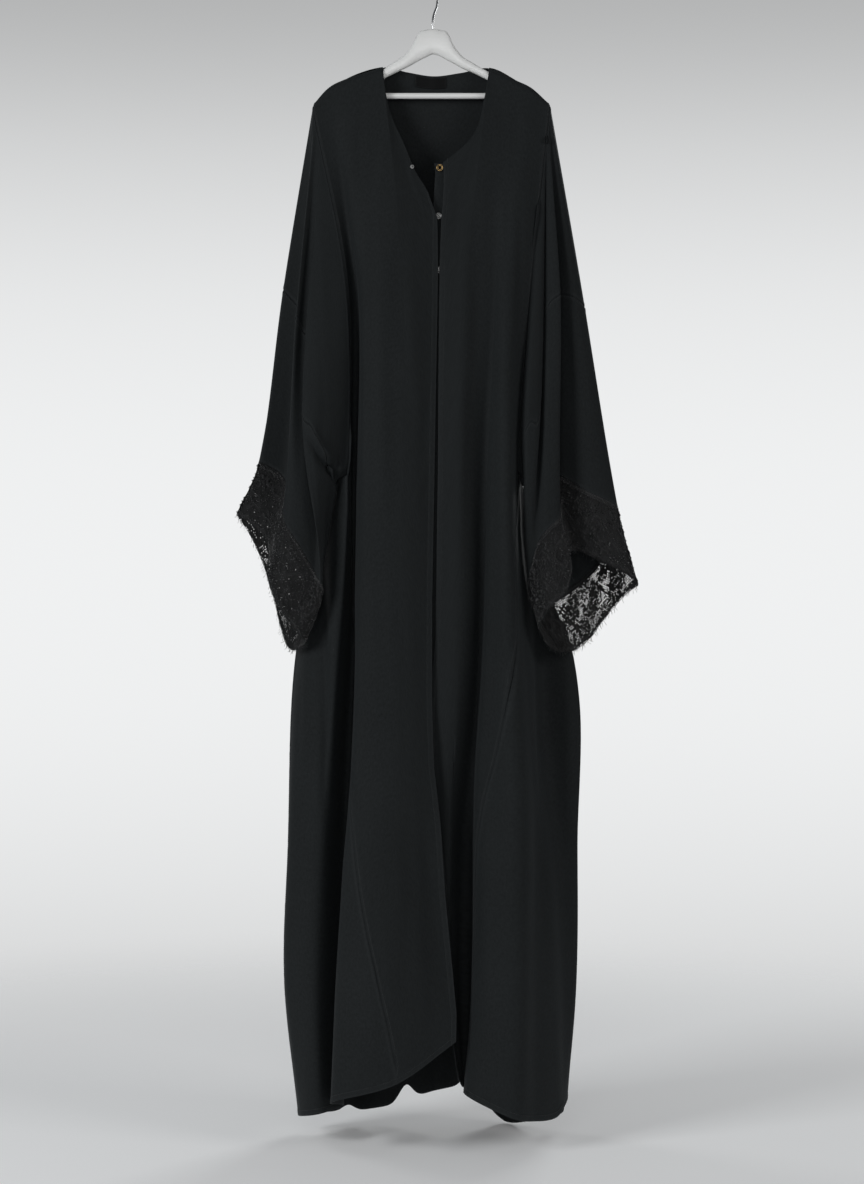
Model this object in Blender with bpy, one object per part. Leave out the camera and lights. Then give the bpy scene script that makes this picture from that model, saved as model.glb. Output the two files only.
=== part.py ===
"""A long open-front abaya cloak in one light black cloth, hanging on a plain white hanger.

Lengths are in millimetres in the tables and become metres on the way into a mesh.
x runs to the viewer's right, y runs to the back, and drop is how far below the hook's inner
top a point lies. The tables give each fold line as it is seen from EYE_BACK in front, and
true_place() takes what is seen to where the cloth is. Right and left are the wearer's, so
the right front is on the viewer's left."""

import math

import bmesh
import bpy
import numpy as np

WALL = 1.5            # every cloth piece
LACE_WALL = 1.3
SEAM_GAP = 0.5        # each piece's edge lies this far back from its seam
SIDE_GAP = 0.9        # where the cloth turns sharply at the seam
ARM_GAP = 0.5
CUFF_GAP = 1.2
LACE_HOLES = 12       # in each row of a half cuff
LACE_ROWS = (2, 2.14, 2.27, 2.43, 2.56, 2.72, 2.85, 3)  # down a cuff: every second row has holes
ARM_CLEAR = (1.4, 2.6)  # the right and left sleeves' armhole edges lie this far outside the body's
EYE_BACK = 3600.0
EYE_DROP = 911.0
CLOTH = (0.012, 0.011, 0.013, 1.0)
LACE = (0.02, 0.018, 0.02, 1.0)
WOOD = (0.82, 0.80, 0.76, 1.0)
STEEL = (0.75, 0.75, 0.76, 1.0)
BRASS = (0.62, 0.45, 0.18, 1.0)

# Nominal drops of the eight stations of a fold line: collar or shoulder, chest, underarm,
# elbow, cuff, knee, shin, hem. A line's own top and hem drops stand in its row.
STATIONS = (150.0, 473.0, 734.0, 860.0, 983.0, 1298.0, 1500.0, 1680.0)
OVER_SHOULDER = 130.0  # the station number where front and back meet on top of the hanger

# Fold line: top x, top drop, x at the six inner stations, hem x, hem drop, y at the eight.
FRONT_RIGHT = (
    ("closure", -34, 269, 5, 1, -2, -3, 13, 31, 33, 1586, -20, -36, -44, -48, -52, -66, -75, -84),
    ("middle", -77, 124, -48, -51, -52, -54, -57, -57, -57, 1650, -9, -50, -60, -65, -70, -88, -102, -116),
    ("edge", -132, 142, -108, -110, -111, -112, -129, -143, -152, 1676, -9, -40, -50, -54, -58, -72, -85, -98),
    ("valley", -159, 156, -118, -120, -120, -120, -132, -137, -136, 1681, -8, -12, -4, -2, 0, -8, -14, -22),
    ("side_ridge", -181, 181, -130, -128, -134, -144, -171, -178, -172, 1694, -8, -24, -25, -28, -32, -40, -44, -48),
    ("side_edge", -181, 181, -130, -136, -161, -187, -214, -219, -199, 1697, -8, -24, -22, -2, -2, -14, -17, -20),
    ("side_seam", -181, 181, -130, -141, -180, -204, -219, -224, -203, 1695, -8, -24, -14, 27, 24, 14, 14, 14),
)
FRONT_LEFT = (
    ("closure", 14, 266, 8, 6, 3, 2, 4, 23, 38, 1640, -16, -34, -42, -44, -46, -46, -46, -48),
    ("middle", 83, 125, 48, 42, 41, 38, 30, 34, 42, 1648, -9, -46, -56, -57, -57, -48, -42, -36),
    ("valley", 102, 133, 86, 74, 71, 69, 50, 47, 46, 1656, -9, -36, -34, -31, -28, -18, -15, -14),
    ("edge", 123, 144, 99, 87, 84, 81, 60, 55, 50, 1668, -9, -42, -46, -49, -52, -60, -72, -84),
    ("ridge", 147, 156, 117, 110, 110, 111, 122, 120, 117, 1701, -9, -48, -60, -65, -70, -88, -101, -114),
    ("armhole", 174, 181, 144, 126, 124, 129, 152, 154, 154, 1705, -8, -26, -30, -36, -42, -56, -70, -80),
    ("side_ridge", 174, 181, 144, 128, 130, 140, 172, 180, 182, 1700, -8, -26, -24, -26, -26, -40, -46, -50),
    ("side_valley", 174, 181, 144, 129, 134, 156, 188, 194, 193, 1686, -8, -26, -18, -4, 2, -8, -18, -30),
    ("side_edge", 174, 181, 144, 130, 146, 198, 214, 213, 200, 1670, -8, -24, -12, 12, 18, 4, 0, -4),
    ("side_seam", 174, 181, 144, 130, 156, 198, 209, 208, 194, 1667, -8, -22, -6, 26, 30, 22, 20, 18),
)
BACK = (
    ("side_seam_right", -181, 181, -130, -141, -180, -204, -219, -224, -203, 1695, 8, 22, -14, 27, 24, 14, 14, 14),
    ("side_fold_right", -181, 181, -130, -130, -162, -193, -206, -206, -196, 1693, 8, 23, 14, 42, 46, 54, 60, 66),
    ("hollow_right", -132, 142, -108, -100, -118, -142, -152, -154, -152, 1690, 9, 30, 30, 38, 44, 56, 64, 70),
    ("flute_right", -77, 124, -60, -62, -76, -92, -102, -104, -104, 1687, 9, 40, 52, 64, 74, 94, 106, 114),
    ("hollow_mid_right", -40, 131, -28, -34, -42, -48, -55, -55, -54, 1678, 10, 38, 44, 50, 56, 66, 72, 76),
    ("flute_mid", 0, 137, 2, 0, 0, 0, 2, 3, 4, 1658, 10, 42, 56, 66, 76, 92, 102, 110),
    ("hollow_mid_left", 40, 132, 32, 36, 44, 50, 56, 56, 56, 1657, 10, 38, 44, 52, 58, 68, 74, 78),
    ("flute_left", 83, 125, 64, 66, 78, 92, 104, 104, 104, 1703, 9, 40, 52, 64, 76, 96, 108, 116),
    ("hollow_left", 123, 144, 110, 98, 112, 138, 148, 148, 146, 1704, 9, 30, 30, 38, 46, 58, 64, 70),
    ("side_fold_left", 174, 181, 144, 126, 144, 188, 202, 200, 190, 1694, 8, 22, 14, 38, 46, 54, 58, 62),
    ("side_seam_left", 174, 181, 144, 130, 156, 198, 209, 208, 194, 1667, 8, 22, -6, 26, 30, 22, 20, 18),
)

# Collar edges from the corner by the first snap up to the shoulder: fold line, x, drop.
COLLAR_RIGHT = ((0, -34, 269), (.09, -38, 256), (.26, -48, 232), (.48, -62, 202), (.67, -70, 175), (.84, -75, 148), (1, -77, 124))
COLLAR_LEFT = ((0, 14, 266), (.16, 35, 250), (.35, 56, 229), (.55, 69, 202), (.7, 75, 175), (.85, 80, 148), (1, 83, 125))
# Front edges: drop, x. The right one has its top corner fallen open.
EDGE_RIGHT = ((269, -34), (293, -19), (314, -8), (337, 0), (350, 5), (428, 6), (650, 2), (923, -3), (1080, -3), (1175, 0),
              (1259, 10), (1370, 18), (1475, 28), (1544, 34), (1586, 33))
EDGE_LEFT = ((266, 14), (281, 16), (332, 13), (352, 11), (428, 8), (734, 6), (983, 2), (1080, -8), (1175, -9), (1298, 4),
             (1400, 13), (1500, 23), (1586, 32), (1640, 38))
# Long seams of the fronts and of the back, from the underarm down: station, fold line.
SEAM_FRONT_RIGHT = ((734, 4), (983, 3), (1196, 2.15), (1280, 1.83), (1380, 1.57), (1475, 1.33), (1565, 1.14), (1680, .95))
SEAM_FRONT_LEFT = ((734, 5), (858, 4.5), (983, 4.35), (1128, 3.65), (1217, 3.26), (1286, 3.08), (1360, 3), (1680, 2.6))
SEAM_BACK_RIGHT = ((734, 1), (983, 1.4), (1298, 1.9), (1680, 2.2))

# Sleeve lines run down from the armhole; 0 is the outer fold, 29 and -29 the underarm seam,
# plus is the front. Each row: line, then x, y and drop at the sleeve's join, cuff seam and cuff edge.
SLEEVE_RIGHT = (
    (-29, -146, -22, 761, -176, -12, 920, -206, -14, 998),
    (-22, -154, 4, 706, -186, 0, 908, -216, -4, 998),
    (-16, -171, 22, 665, -198, 8, 884, -225, 4, 984),
    (-12, -189, 34, 623, -212, 14, 852, -232, 10, 959),
    (-8, -177, 16, 551, -228, 14, 814, -244, 12, 911),
    (-5, -201, 28, 500, -242, 14, 773, -262, 14, 857),
    (-3, -202, 14, 482, -252, 8, 746, -278, 8, 824),
    (0, -226, 4, 458, -262, -4, 718, -296, -2, 796),
    (3, -200, -4, 490, -222, -4, 748, -252, -12, 833),
    (5, -207, -28, 500, -226, -34, 796, -246, -38, 866),
    (8, -196, -22, 521, -204, -46, 840, -246, -46, 908),
    (10, -182, -28, 545, -180, -38, 881, -225, -46, 947),
    (12, -196, -42, 626, -172, -46, 894, -206, -42, 972),
    (16, -183, -50, 664, -168, -36, 906, -195, -32, 983),
    (22, -164, -42, 706, -170, -26, 914, -196, -24, 992),
    (29, -146, -22, 761, -176, -12, 920, -206, -14, 998),
)
SLEEVE_LEFT = (
    (-29, 138, -24, 773, 148, -12, 926, 189, -16, 1002),
    (-23, 147, 2, 706, 165, -4, 929, 202, -8, 1002),
    (-17, 156, 20, 665, 184, 8, 920, 218, 2, 996),
    (-13, 171, 32, 616, 207, 16, 905, 236, 14, 980),
    (-9, 166, 16, 540, 228, 22, 888, 255, 24, 954),
    (-5, 198, 28, 480, 252, 22, 857, 280, 22, 924),
    (-3, 208, 16, 470, 266, 12, 821, 294, 12, 911),
    (0, 226, 4, 484, 275, -2, 786, 304, 0, 898),
    (3, 207, -14, 467, 231, -16, 762, 254, -24, 868),
    (5, 184, -8, 464, 183, -2, 738, 208, -10, 851),
    (7, 189, -30, 464, 189, -38, 796, 206, -50, 884),
    (9, 171, -28, 482, 172, -48, 816, 198, -60, 914),
    (11, 165, -15, 521, 156, -44, 839, 171, -60, 940),
    (13, 160, -36, 629, 147, -44, 872, 159, -52, 959),
    (17, 144, -48, 656, 142, -40, 898, 166, -42, 983),
    (23, 134, -42, 690, 144, -30, 914, 177, -32, 996),
    (29, 138, -24, 773, 148, -12, 926, 189, -16, 1002),
)
# Where each sleeve line leaves the armhole: line, station. Past 27 it turns under the arm.
ARMHOLE_LINES = ((0, 136), (5, 166), (12, 222), (16, 330), (22, 560), (27, 734))

# Columns of the grid, as shares of the way across: close together at the neck point.
COLUMNS_RIGHT = tuple(v / 4 for v in (0, .3, .58, .8, .91, .965, 1.01, 1.14, 1.45, 1.75, 1.95, 2.15, 2.4, 2.7, 3, 3.3, 3.65, 4))
COLUMNS_LEFT = tuple(v / 5 for v in (0, .35, .65, .85, .95, 1.01, 1.15, 1.5, 1.85, 2.15, 2.5, 2.8, 3.05, 3.35, 3.7, 4, 4.3, 4.65, 5))
COLUMNS_BACK = tuple((v - 1) / 8 for v in (1, 1.5, 2, 2.4, 2.75, 2.97, 3.05, 3.25, 3.6, 4, 4.35, 4.7, 5, 5.3, 5.65, 6, 6.4, 6.75,
                                           6.95, 7.03, 7.25, 7.6, 8, 8.5, 9))
# Rows of the grid of a body panel, as stations.
ROWS = (130, 140, 150, 190, 260, 360, 473, 600, 734, 830, 950, 1080, 1220, 1360, 1480, 1590, 1680)


def curve(rows, at):
    """A smooth line through a table's rows: the first column is the knot."""
    table = np.array(rows, float)
    return spline(table[:, 0], table[:, 1:], at)


def spline(knots, values, at):
    """Cubic through values at knots, each at its own place `at`. values may hold one set per place."""
    knots, values, at = np.asarray(knots, float), np.asarray(values, float), np.asarray(at, float)
    step = np.diff(knots)
    if values.ndim < 3:
        values = np.broadcast_to(values.reshape(1, len(knots), -1), (at.size, len(knots), values.size // len(knots)))
    slope = np.diff(values, axis=1) / step[:, None]
    tangent = np.empty(values.shape)
    tangent[:, 0], tangent[:, -1] = slope[:, 0], slope[:, -1]
    share = (step[1:] / (step[1:] + step[:-1]))[:, None]
    tangent[:, 1:-1] = slope[:, :-1] * share + slope[:, 1:] * (1 - share)
    place = np.clip(np.searchsorted(knots, at.ravel(), side="right") - 1, 0, len(step) - 1)
    each = np.arange(at.size)
    width = step[place][:, None]
    t = (at.ravel() - knots[place])[:, None] / width
    start, end = values[each, place], values[each, place + 1]
    out = tangent[each, place] * width
    into = tangent[each, place + 1] * width
    inside = (start * (1 + 2 * t) + out * t) * (1 - t) ** 2 + (end * (3 - 2 * t) - into * (1 - t)) * t * t
    beyond = np.where(t < 0, start + out * t, end + into * (t - 1))
    return np.where((t < 0) | (t > 1), beyond, inside).reshape(at.shape + (values.shape[2],))


def true_place(x, y, drop):
    """Where a point that is seen at x and drop lies, at depth y."""
    near = 1 + y / EYE_BACK
    return np.stack([x * near, y, -(EYE_DROP + (drop - EYE_DROP) * near)], axis=-1)


class Panel:
    """One layer of the body: fold lines across, stations down."""

    def __init__(self, lines, collar, edge=None):
        table = np.array([row[1:] for row in lines], float)
        x = np.concatenate([table[:, :1], table[:, 2:9]], axis=1)
        nominal = np.array(STATIONS)
        drop = np.tile(nominal, (len(lines), 1))
        drop[:, 0], drop[:, -1] = table[:, 1], table[:, 9]
        self.lines = np.stack([x, table[:, 10:], drop], axis=-1)
        self.collar, self.edge = collar, edge
        self.last = len(lines) - 1

    def crown(self, line):
        """1 where the cloth goes over the hanger's arm, 0 along the collar."""
        low, high = self.collar
        inside = np.minimum(line - low, high - line)
        return np.clip(1 - inside / .05, 0, 1)

    def seen(self, line, station):
        line, station = np.broadcast_arrays(np.asarray(line, float), np.asarray(station, float))
        flat_line, flat_station = line.ravel(), station.ravel()
        size = flat_line.size
        down = np.maximum(flat_station, STATIONS[0])
        along = np.stack([spline(STATIONS, self.lines[i], down) for i in range(self.last + 1)], axis=1)
        point = spline(np.arange(self.last + 1), along, flat_line).reshape(size, 3)
        x, y, drop = point.T.copy()
        fade = np.clip((STATIONS[1] - down) / (STATIONS[1] - STATIONS[0]), 0, 1) ** 1.5
        crown = self.crown(flat_line)
        top_y = np.abs(spline(STATIONS, self.lines[:, :, 1].T, np.array([STATIONS[0]]))[0])
        radius = spline(np.arange(self.last + 1), top_y, flat_line)[:, 0]
        x, drop = self.fit_collar(flat_line, x, drop, fade)
        drop = drop + fade * crown * radius
        turn = np.clip((STATIONS[0] - flat_station) / (STATIONS[0] - OVER_SHOULDER), 0, 1) * math.pi / 2
        y = y * np.cos(turn)
        drop = drop - radius * crown * np.sin(turn)
        if self.edge is not None:
            x = x + self.pull_to_edge(flat_line, down, drop)
        return [part.reshape(line.shape) for part in (x, y, drop)]

    def fit_collar(self, line, x, drop, fade):
        low, high = self.collar
        if self.edge is None:
            return x, drop
        rows = COLLAR_RIGHT if self.edge is EDGE_RIGHT else COLLAR_LEFT
        shoulder = spline(np.arange(1, self.last + 1), self.lines[1:, 0][:, [0, 2]], np.maximum(line, 1))
        wanted = np.where(line[:, None] < 1, curve(rows, np.clip(line, 0, 1)), shoulder)
        plain = spline(np.arange(self.last + 1), self.lines[:, 0][:, [0, 2]], line)
        return x + fade * (wanted[:, 0] - plain[:, 0]), drop + fade * (wanted[:, 1] - plain[:, 1])

    def pull_to_edge(self, line, down, drop):
        own = spline(STATIONS, self.lines[0], down)
        ended = np.array(self.edge, float)
        wanted = np.interp(own[:, 2], ended[:, 0], ended[:, 1])
        return (wanted - own[:, 0]) * np.clip(1 - line, 0, 1) ** 2 * np.clip((down - 150) / 60, 0, 1)

    def __call__(self, line, station):
        return true_place(*self.seen(line, station))


class Sleeve:
    """A tube from the armhole (0) past its join (1) and cuff seam (2) to the cuff's edge (3)."""

    def __init__(self, rows, front, back, front_arm, back_arm, front_under, back_under):
        self.rows = np.array(rows, float)
        self.front, self.back = front, back
        self.arm = (front_arm, back_arm)
        self.under = (front_under, back_under)

    def armhole(self, line):
        ends = []
        far = np.abs(line)
        for panel, arm, under in zip((self.front, self.back), self.arm, self.under):
            station = np.interp(far, [r[0] for r in ARMHOLE_LINES], [r[1] for r in ARMHOLE_LINES])
            turned = np.clip((far - 27) / 2, 0, 1)
            ends.append(panel(arm + (under - arm) * turned, station))
        blend = np.clip(.5 + line / 5, 0, 1)[..., None]
        point = ends[0] * blend + ends[1] * (1 - blend)
        clear = ARM_CLEAR[int(point[0, 0] > 0)] * np.clip(far / 6, 0, 1) * np.clip((29 - far) / 3, 0, 1)
        point[..., 0] += np.sign(point[..., 0]) * clear
        return point

    def __call__(self, line, down):
        line, down = np.broadcast_arrays(np.asarray(line, float), np.asarray(down, float))
        flat, w = line.ravel(), down.ravel()
        rings = [self.armhole(flat)]
        for k in range(3):
            seen = spline(self.rows[:, 0], self.rows[:, 1 + 3 * k:4 + 3 * k], flat)
            rings.append(true_place(*seen.reshape(-1, 3).T))
        p = np.stack(rings, axis=1)
        length = np.linalg.norm(np.diff(p, axis=1), axis=2)[..., None] + 1e-6
        slope = np.diff(p, axis=1) / length
        m = np.empty(p.shape)
        m[:, 0], m[:, 3] = slope[:, 0], slope[:, 2]
        m[:, 1:3] = (p[:, 2:] - p[:, :2]) / (length[:, 1:] + length[:, :-1])
        k = np.clip(w.astype(int), 0, 2)
        each = np.arange(w.size)
        t = (w - k)[:, None]
        h = length[each, k]
        a, b = p[each, k], p[each, k + 1]
        s, e = m[each, k] * h, m[each, k + 1] * h
        point = (a * (1 + 2 * t) + s * t) * (1 - t) ** 2 + (b * (3 - 2 * t) - e * (1 - t)) * t * t
        return point.reshape(line.shape + (3,))


def normals(surface, a, b, da, db):
    along = surface(a + da, b) - surface(a - da, b)
    across = surface(a, b + db) - surface(a, b - db)
    n = np.cross(along, across)
    return n / np.maximum(np.linalg.norm(n, axis=-1, keepdims=True), 1e-9)


def finish(name, points, faces, colour, rough=.85, metal=0.0):
    mesh = bpy.data.meshes.new(name)
    mesh.from_pydata((np.asarray(points) / 1000).tolist(), [], [list(map(int, f)) for f in faces])
    mesh.validate()
    obj = bpy.data.objects.new(name, mesh)
    bpy.context.scene.collection.objects.link(obj)
    material = bpy.data.materials.new(name)
    material.use_nodes = True
    shader = material.node_tree.nodes["Principled BSDF"]
    shader.inputs["Base Color"].default_value = colour
    shader.inputs["Roughness"].default_value = rough
    shader.inputs["Metallic"].default_value = metal
    mesh.materials.append(material)
    return obj


def sheet(name, surface, a, b, wall=WALL, colour=CLOTH, keep=None, shift=0.0, steps=(.02, 3.0), outward=(0, 0, 0)):
    """A wall of cloth on surface(a, b): two faces and rims, with the cells where keep is False cut out.

    shift moves it along the surface's outward normal. outward is a point inside the garment."""
    mid = surface(a, b)
    n = normals(surface, a, b, *steps)
    inside = np.asarray(outward, float)
    if np.sum(n * (mid - inside)) < 0:
        n = -n
    mid = mid + n * shift
    rows, cols = a.shape
    keep = np.ones((rows - 1, cols - 1), bool) if keep is None else keep
    index = np.arange(rows * cols).reshape(rows, cols)
    points = np.concatenate([(mid + n * wall / 2).reshape(-1, 3), (mid - n * wall / 2).reshape(-1, 3)])
    back = rows * cols
    flat = mid.reshape(-1, 3)
    cells = []
    for i, j in zip(*np.nonzero(keep)):
        p, q, r, s = index[i, j], index[i + 1, j], index[i + 1, j + 1], index[i, j + 1]
        if np.linalg.norm(flat[p] - flat[r]) <= np.linalg.norm(flat[q] - flat[s]):
            cells += [(p, q, r), (p, r, s)]
        else:
            cells += [(q, r, s), (q, s, p)]
    used = {(c[k], c[(k + 1) % 3]) for c in cells for k in range(3)}
    faces = list(cells) + [tuple(back + v for v in reversed(c)) for c in cells]
    faces += [(q, p, p + back, q + back) for p, q in used if (q, p) not in used]
    seen = sorted({v for f in faces for v in f})
    number = {v: k for k, v in enumerate(seen)}
    obj = finish(name, points[seen], [[number[v] for v in f] for f in faces], colour)
    turn_out(obj)
    return obj


def turn_out(obj):
    """Faces outwards, whichever way the grid ran."""
    work = bmesh.new()
    work.from_mesh(obj.data)
    if work.calc_volume(signed=True) < 0:
        bmesh.ops.reverse_faces(work, faces=work.faces)
    work.to_mesh(obj.data)
    work.free()


def reach(surface, a, b, gap, toward):
    """How far a goes for a boundary, given as one row of points, to draw back by gap square to itself."""
    step = .03 * toward
    here = surface(a, b)
    ahead = (surface(a + step, b) - here) / .03
    run = np.gradient(here, axis=0)
    square = np.linalg.norm(np.cross(ahead, run), axis=-1) / np.maximum(np.linalg.norm(run, axis=-1), 1e-6)
    return toward * np.minimum(gap / np.maximum(square, 1e-6), .45)


def grid(surface, left, right, rows, columns, gaps=(0, 0), start=None):
    """Line and station of each grid point. columns are shares of the way from the curve left to the
    curve right, or how many there are; the outer ones draw back by gaps."""
    rows = np.array(rows, float)
    share = np.linspace(0, 1, columns) if isinstance(columns, int) else np.array(columns, float)
    first, last = left(rows), right(rows)
    first = first + reach(surface, first, rows, gaps[0], 1)
    last = last + reach(surface, last, rows, gaps[1], -1)
    line = first[:, None] * (1 - share) + last[:, None] * share
    station = np.repeat(rows[:, None], len(share), axis=1)
    if start is not None:
        station = start(line, station)
    return line, station


def along(rows):
    """A seam's fold line at a station."""
    table = np.array(rows, float)
    return lambda station: np.interp(station, table[:, 0], table[:, 1])


def level(value):
    return lambda station: np.full(station.shape, float(value))


def tube(name, path, radius, sides, colour, rough=.4, metal=0.0):
    """A round bar along a path, closed at both ends."""
    path = np.array(path, float)
    heading = np.gradient(path, axis=0)
    heading /= np.linalg.norm(heading, axis=1)[:, None]
    up = np.cross(heading[0], (0.31, 0.2, 0.93))
    points = []
    for place, forward in zip(path, heading):
        up = up - forward * np.dot(up, forward)
        up /= np.linalg.norm(up)
        side = np.cross(forward, up)
        for k in range(sides):
            turn = 2 * math.pi * k / sides
            points.append(place + radius * (up * math.cos(turn) + side * math.sin(turn)))
    faces = []
    for i in range(len(path) - 1):
        for k in range(sides):
            n = (k + 1) % sides
            faces.append((i * sides + k, i * sides + n, (i + 1) * sides + n, (i + 1) * sides + k))
    faces += [tuple(range(sides))[::-1], tuple(range(len(points) - sides, len(points)))]
    obj = finish(name, points, faces, colour, rough, metal)
    turn_out(obj)
    return obj


def turned(name, centre, profile, sides, colour, rough=.35, metal=1.0):
    """A body turned about the y axis: profile is (radius, y) from one face to the other and closed."""
    points, faces = [], []
    for radius, y in profile:
        for k in range(sides):
            turn = 2 * math.pi * k / sides
            points.append((centre[0] + radius * math.cos(turn), centre[1] + y, centre[2] + radius * math.sin(turn)))
    count = len(profile)
    for i in range(count):
        j = (i + 1) % count
        for k in range(sides):
            n = (k + 1) % sides
            faces.append((i * sides + k, i * sides + n, j * sides + n, j * sides + k))
    obj = finish(name, points, faces, colour, rough, metal)
    turn_out(obj)
    return obj


def disc_profile(radius, thick, hole=.6):
    """A rounded button with a fine hole through it."""
    return ((hole, 0), (radius * .8, 0), (radius, thick * .35), (radius, thick * .65), (radius * .75, thick), (hole, thick))


for old in list(bpy.data.objects):
    bpy.data.objects.remove(old)

front_right = Panel(FRONT_RIGHT, (-9, 1), EDGE_RIGHT)
front_left = Panel(FRONT_LEFT, (-9, 1), EDGE_LEFT)
back = Panel(BACK, (3, 7))
INSIDE = (0, 0, -900)


def start_on_collar(panel):
    """Rows of a panel begin on the collar edge, or on top of the shoulder."""
    shift = {130: 20, 140: 17, 150: 14, 185: 5}

    def placed(line, station):
        moved = station.copy()
        for number, by in shift.items():
            moved = moved + np.where(station == number, by * (1 - panel.crown(line)), 0)
        return moved + np.where(station == 130, .5, 0)
    return placed


def panel_seam(rows, arm):
    """The panel's side boundary: the armhole down to the underarm, then the long seam."""
    return lambda station: np.where(station <= 734, arm, along(rows)(station))


def body():
    """Fronts, back and the four side gores."""
    below = [r for r in ROWS if r >= 734]
    gore_rows = [744] + below[1:]
    for name, panel, seam, arm, columns, gap in (("front_right", front_right, SEAM_FRONT_RIGHT, 4, COLUMNS_RIGHT, 1.7),
                                                 ("front_left", front_left, SEAM_FRONT_LEFT, 5, COLUMNS_LEFT, SEAM_GAP)):
        a, b = grid(panel, level(0), panel_seam(seam, arm), ROWS, columns, (0, gap), start_on_collar(panel))
        sheet(name, panel, a, b, outward=INSIDE)
        a, b = grid(panel, along(seam), level(panel.last), gore_rows, 11, (gap, SIDE_GAP))
        sheet("gore_" + name, panel, a, b, outward=INSIDE)
    mirror = tuple((s, back.last - line) for s, line in SEAM_BACK_RIGHT)
    a, b = grid(back, panel_seam(SEAM_BACK_RIGHT, 1), panel_seam(mirror, back.last - 1), ROWS, COLUMNS_BACK,
                (SEAM_GAP, SEAM_GAP), start_on_collar(back))
    sheet("back", back, a, b, outward=INSIDE)
    a, b = grid(back, level(0), along(SEAM_BACK_RIGHT), gore_rows, 7, (SIDE_GAP, SEAM_GAP))
    sheet("gore_back_right", back, a, b, outward=INSIDE)
    a, b = grid(back, along(mirror), level(back.last), gore_rows, 7, (SEAM_GAP, SIDE_GAP))
    sheet("gore_back_left", back, a, b, outward=INSIDE)


def lines_of(sleeve, low, high, count):
    """Sleeve lines that divide the rings at the join, cuff seam and cuff edge about evenly, with one on
    each fold of the sleeve's table."""
    fine = np.linspace(low, high, 241)
    rings = [sleeve(fine, w) for w in (1, 2, 3)]
    run = sum(np.linalg.norm(np.diff(ring, axis=0), axis=1) for ring in rings)
    done = np.concatenate([[0], np.cumsum(run)])
    lines = np.interp(np.linspace(0, done[-1], count), done, fine)
    for fold in sleeve.rows[1:-1, 0]:
        nearest = int(np.argmin(np.abs(lines - fold)))
        if 0 < nearest < count - 1 and low < fold < high:
            lines[nearest] = fold
    return np.sort(lines)


def tube_grid(sleeve, low, high, columns, rows, gaps, sides):
    """Line and height of a sleeve piece's grid: gaps at its two ends, sides at its two long edges."""
    across = lines_of(sleeve, low, high, columns)[None, :]
    a, b = (v.copy() for v in np.broadcast_arrays(across, np.array(rows, float)[:, None]))
    for column, gap, toward in ((0, sides[0], 1), (-1, sides[1], -1)):
        a[:, column] += reach(sleeve, a[:, column], b[:, column], gap, toward)
    for row, gap, toward in ((0, gaps[0], 1), (-1, gaps[1], -1)):
        b[row] += reach(lambda height, line: sleeve(line, height), b[row] + 1e-6 * toward, a[row], gap, toward)
    return a, b


def sleeves():
    """Upper and lower sleeve and the two lace halves of the cuff on each side."""
    right = Sleeve(SLEEVE_RIGHT, front_right, back, 4, 1, 6, 0)
    left = Sleeve(SLEEVE_LEFT, front_left, back, 5, back.last - 1, 9, back.last)
    for name, sleeve, centre in (("right", right, (-200, -10, -700)), ("left", left, (190, -10, -700))):
        for part, rows, top, end in (("upper", (0, .12, .35, .6, .82, 1), ARM_GAP, SIDE_GAP),
                                     ("lower", (1, 1.2, 1.45, 1.7, 1.88, 2), SIDE_GAP, SEAM_GAP)):
            a, b = tube_grid(sleeve, -29, 29, 36, rows, (top, end), (SIDE_GAP, SIDE_GAP))
            sheet(f"sleeve_{part}_{name}", sleeve, a, b, steps=(.15, .004), outward=centre)
        for half, low, high, sides in (("back", -29, -.001, (SIDE_GAP, SEAM_GAP)), ("front", .001, 29, (SEAM_GAP, SIDE_GAP))):
            a, b = tube_grid(sleeve, low, high, 2 * LACE_HOLES + 2, LACE_ROWS, (CUFF_GAP, 0), sides)
            b[-1] -= .06 * (np.arange(b.shape[1]) % 2)
            keep = np.ones((b.shape[0] - 1, b.shape[1] - 1), bool)
            keep[1::2, 1::2] = False
            keep[-1] = True
            sheet(f"cuff_{half}_{name}", sleeve, a, b, wall=LACE_WALL, colour=LACE, keep=keep, steps=(.15, .004),
                  outward=centre)


def trims():
    """The strip that carries the snaps, the snaps and the blank label."""
    edge = np.array(EDGE_LEFT, float)

    def strip(across, drop):
        _, y, _ = front_left.seen(np.zeros(np.shape(across)), np.maximum(drop, 150) * 1.0)
        x = np.interp(drop, edge[:, 0], edge[:, 1]) - 14 + 24 * across
        own = np.interp(drop, (270, 473, 734, 983, 1298), (-16, -34, -42, -46, -52))
        return true_place(x, own + 3.0, drop)

    a, b = np.broadcast_arrays(np.linspace(0, 1, 3)[None, :], np.linspace(268, 1080, 12)[:, None])
    sheet("snap_stand", strip, a, b, wall=1.2, outward=INSIDE)
    front = strip(np.array([.58]), np.array([275.0]))[0]
    turned("snap_socket_1", (8.6, front[1] - 3.4, front[2]),
           ((2.2, 0), (5.2, 0), (5.2, 1.2), (4.2, 2.0), (2.2, 2.0)), 16, BRASS)
    for k, (x, drop) in enumerate(((6.8, 347), (6.2, 428)), 2):
        place = strip(np.array([.58]), np.array([float(drop)]))[0]
        turned(f"snap_socket_{k}", (x, place[1] - 3.0, place[2]), disc_profile(4.6, 1.7), 12, BRASS)
    corner = front_right(np.array([.04]), np.array([166.0]))[0]
    turned("snap_stud_1", (corner[0], corner[1] - 3.6, corner[2]), disc_profile(3.0, 1.8), 12, STEEL)
    a, b = np.broadcast_arrays(np.linspace(4.3, 5.45, 5)[None, :], np.array((153, 161, 169))[:, None])
    sheet("label", back, a, b, wall=.8, shift=-1.6, outward=INSIDE)


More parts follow.
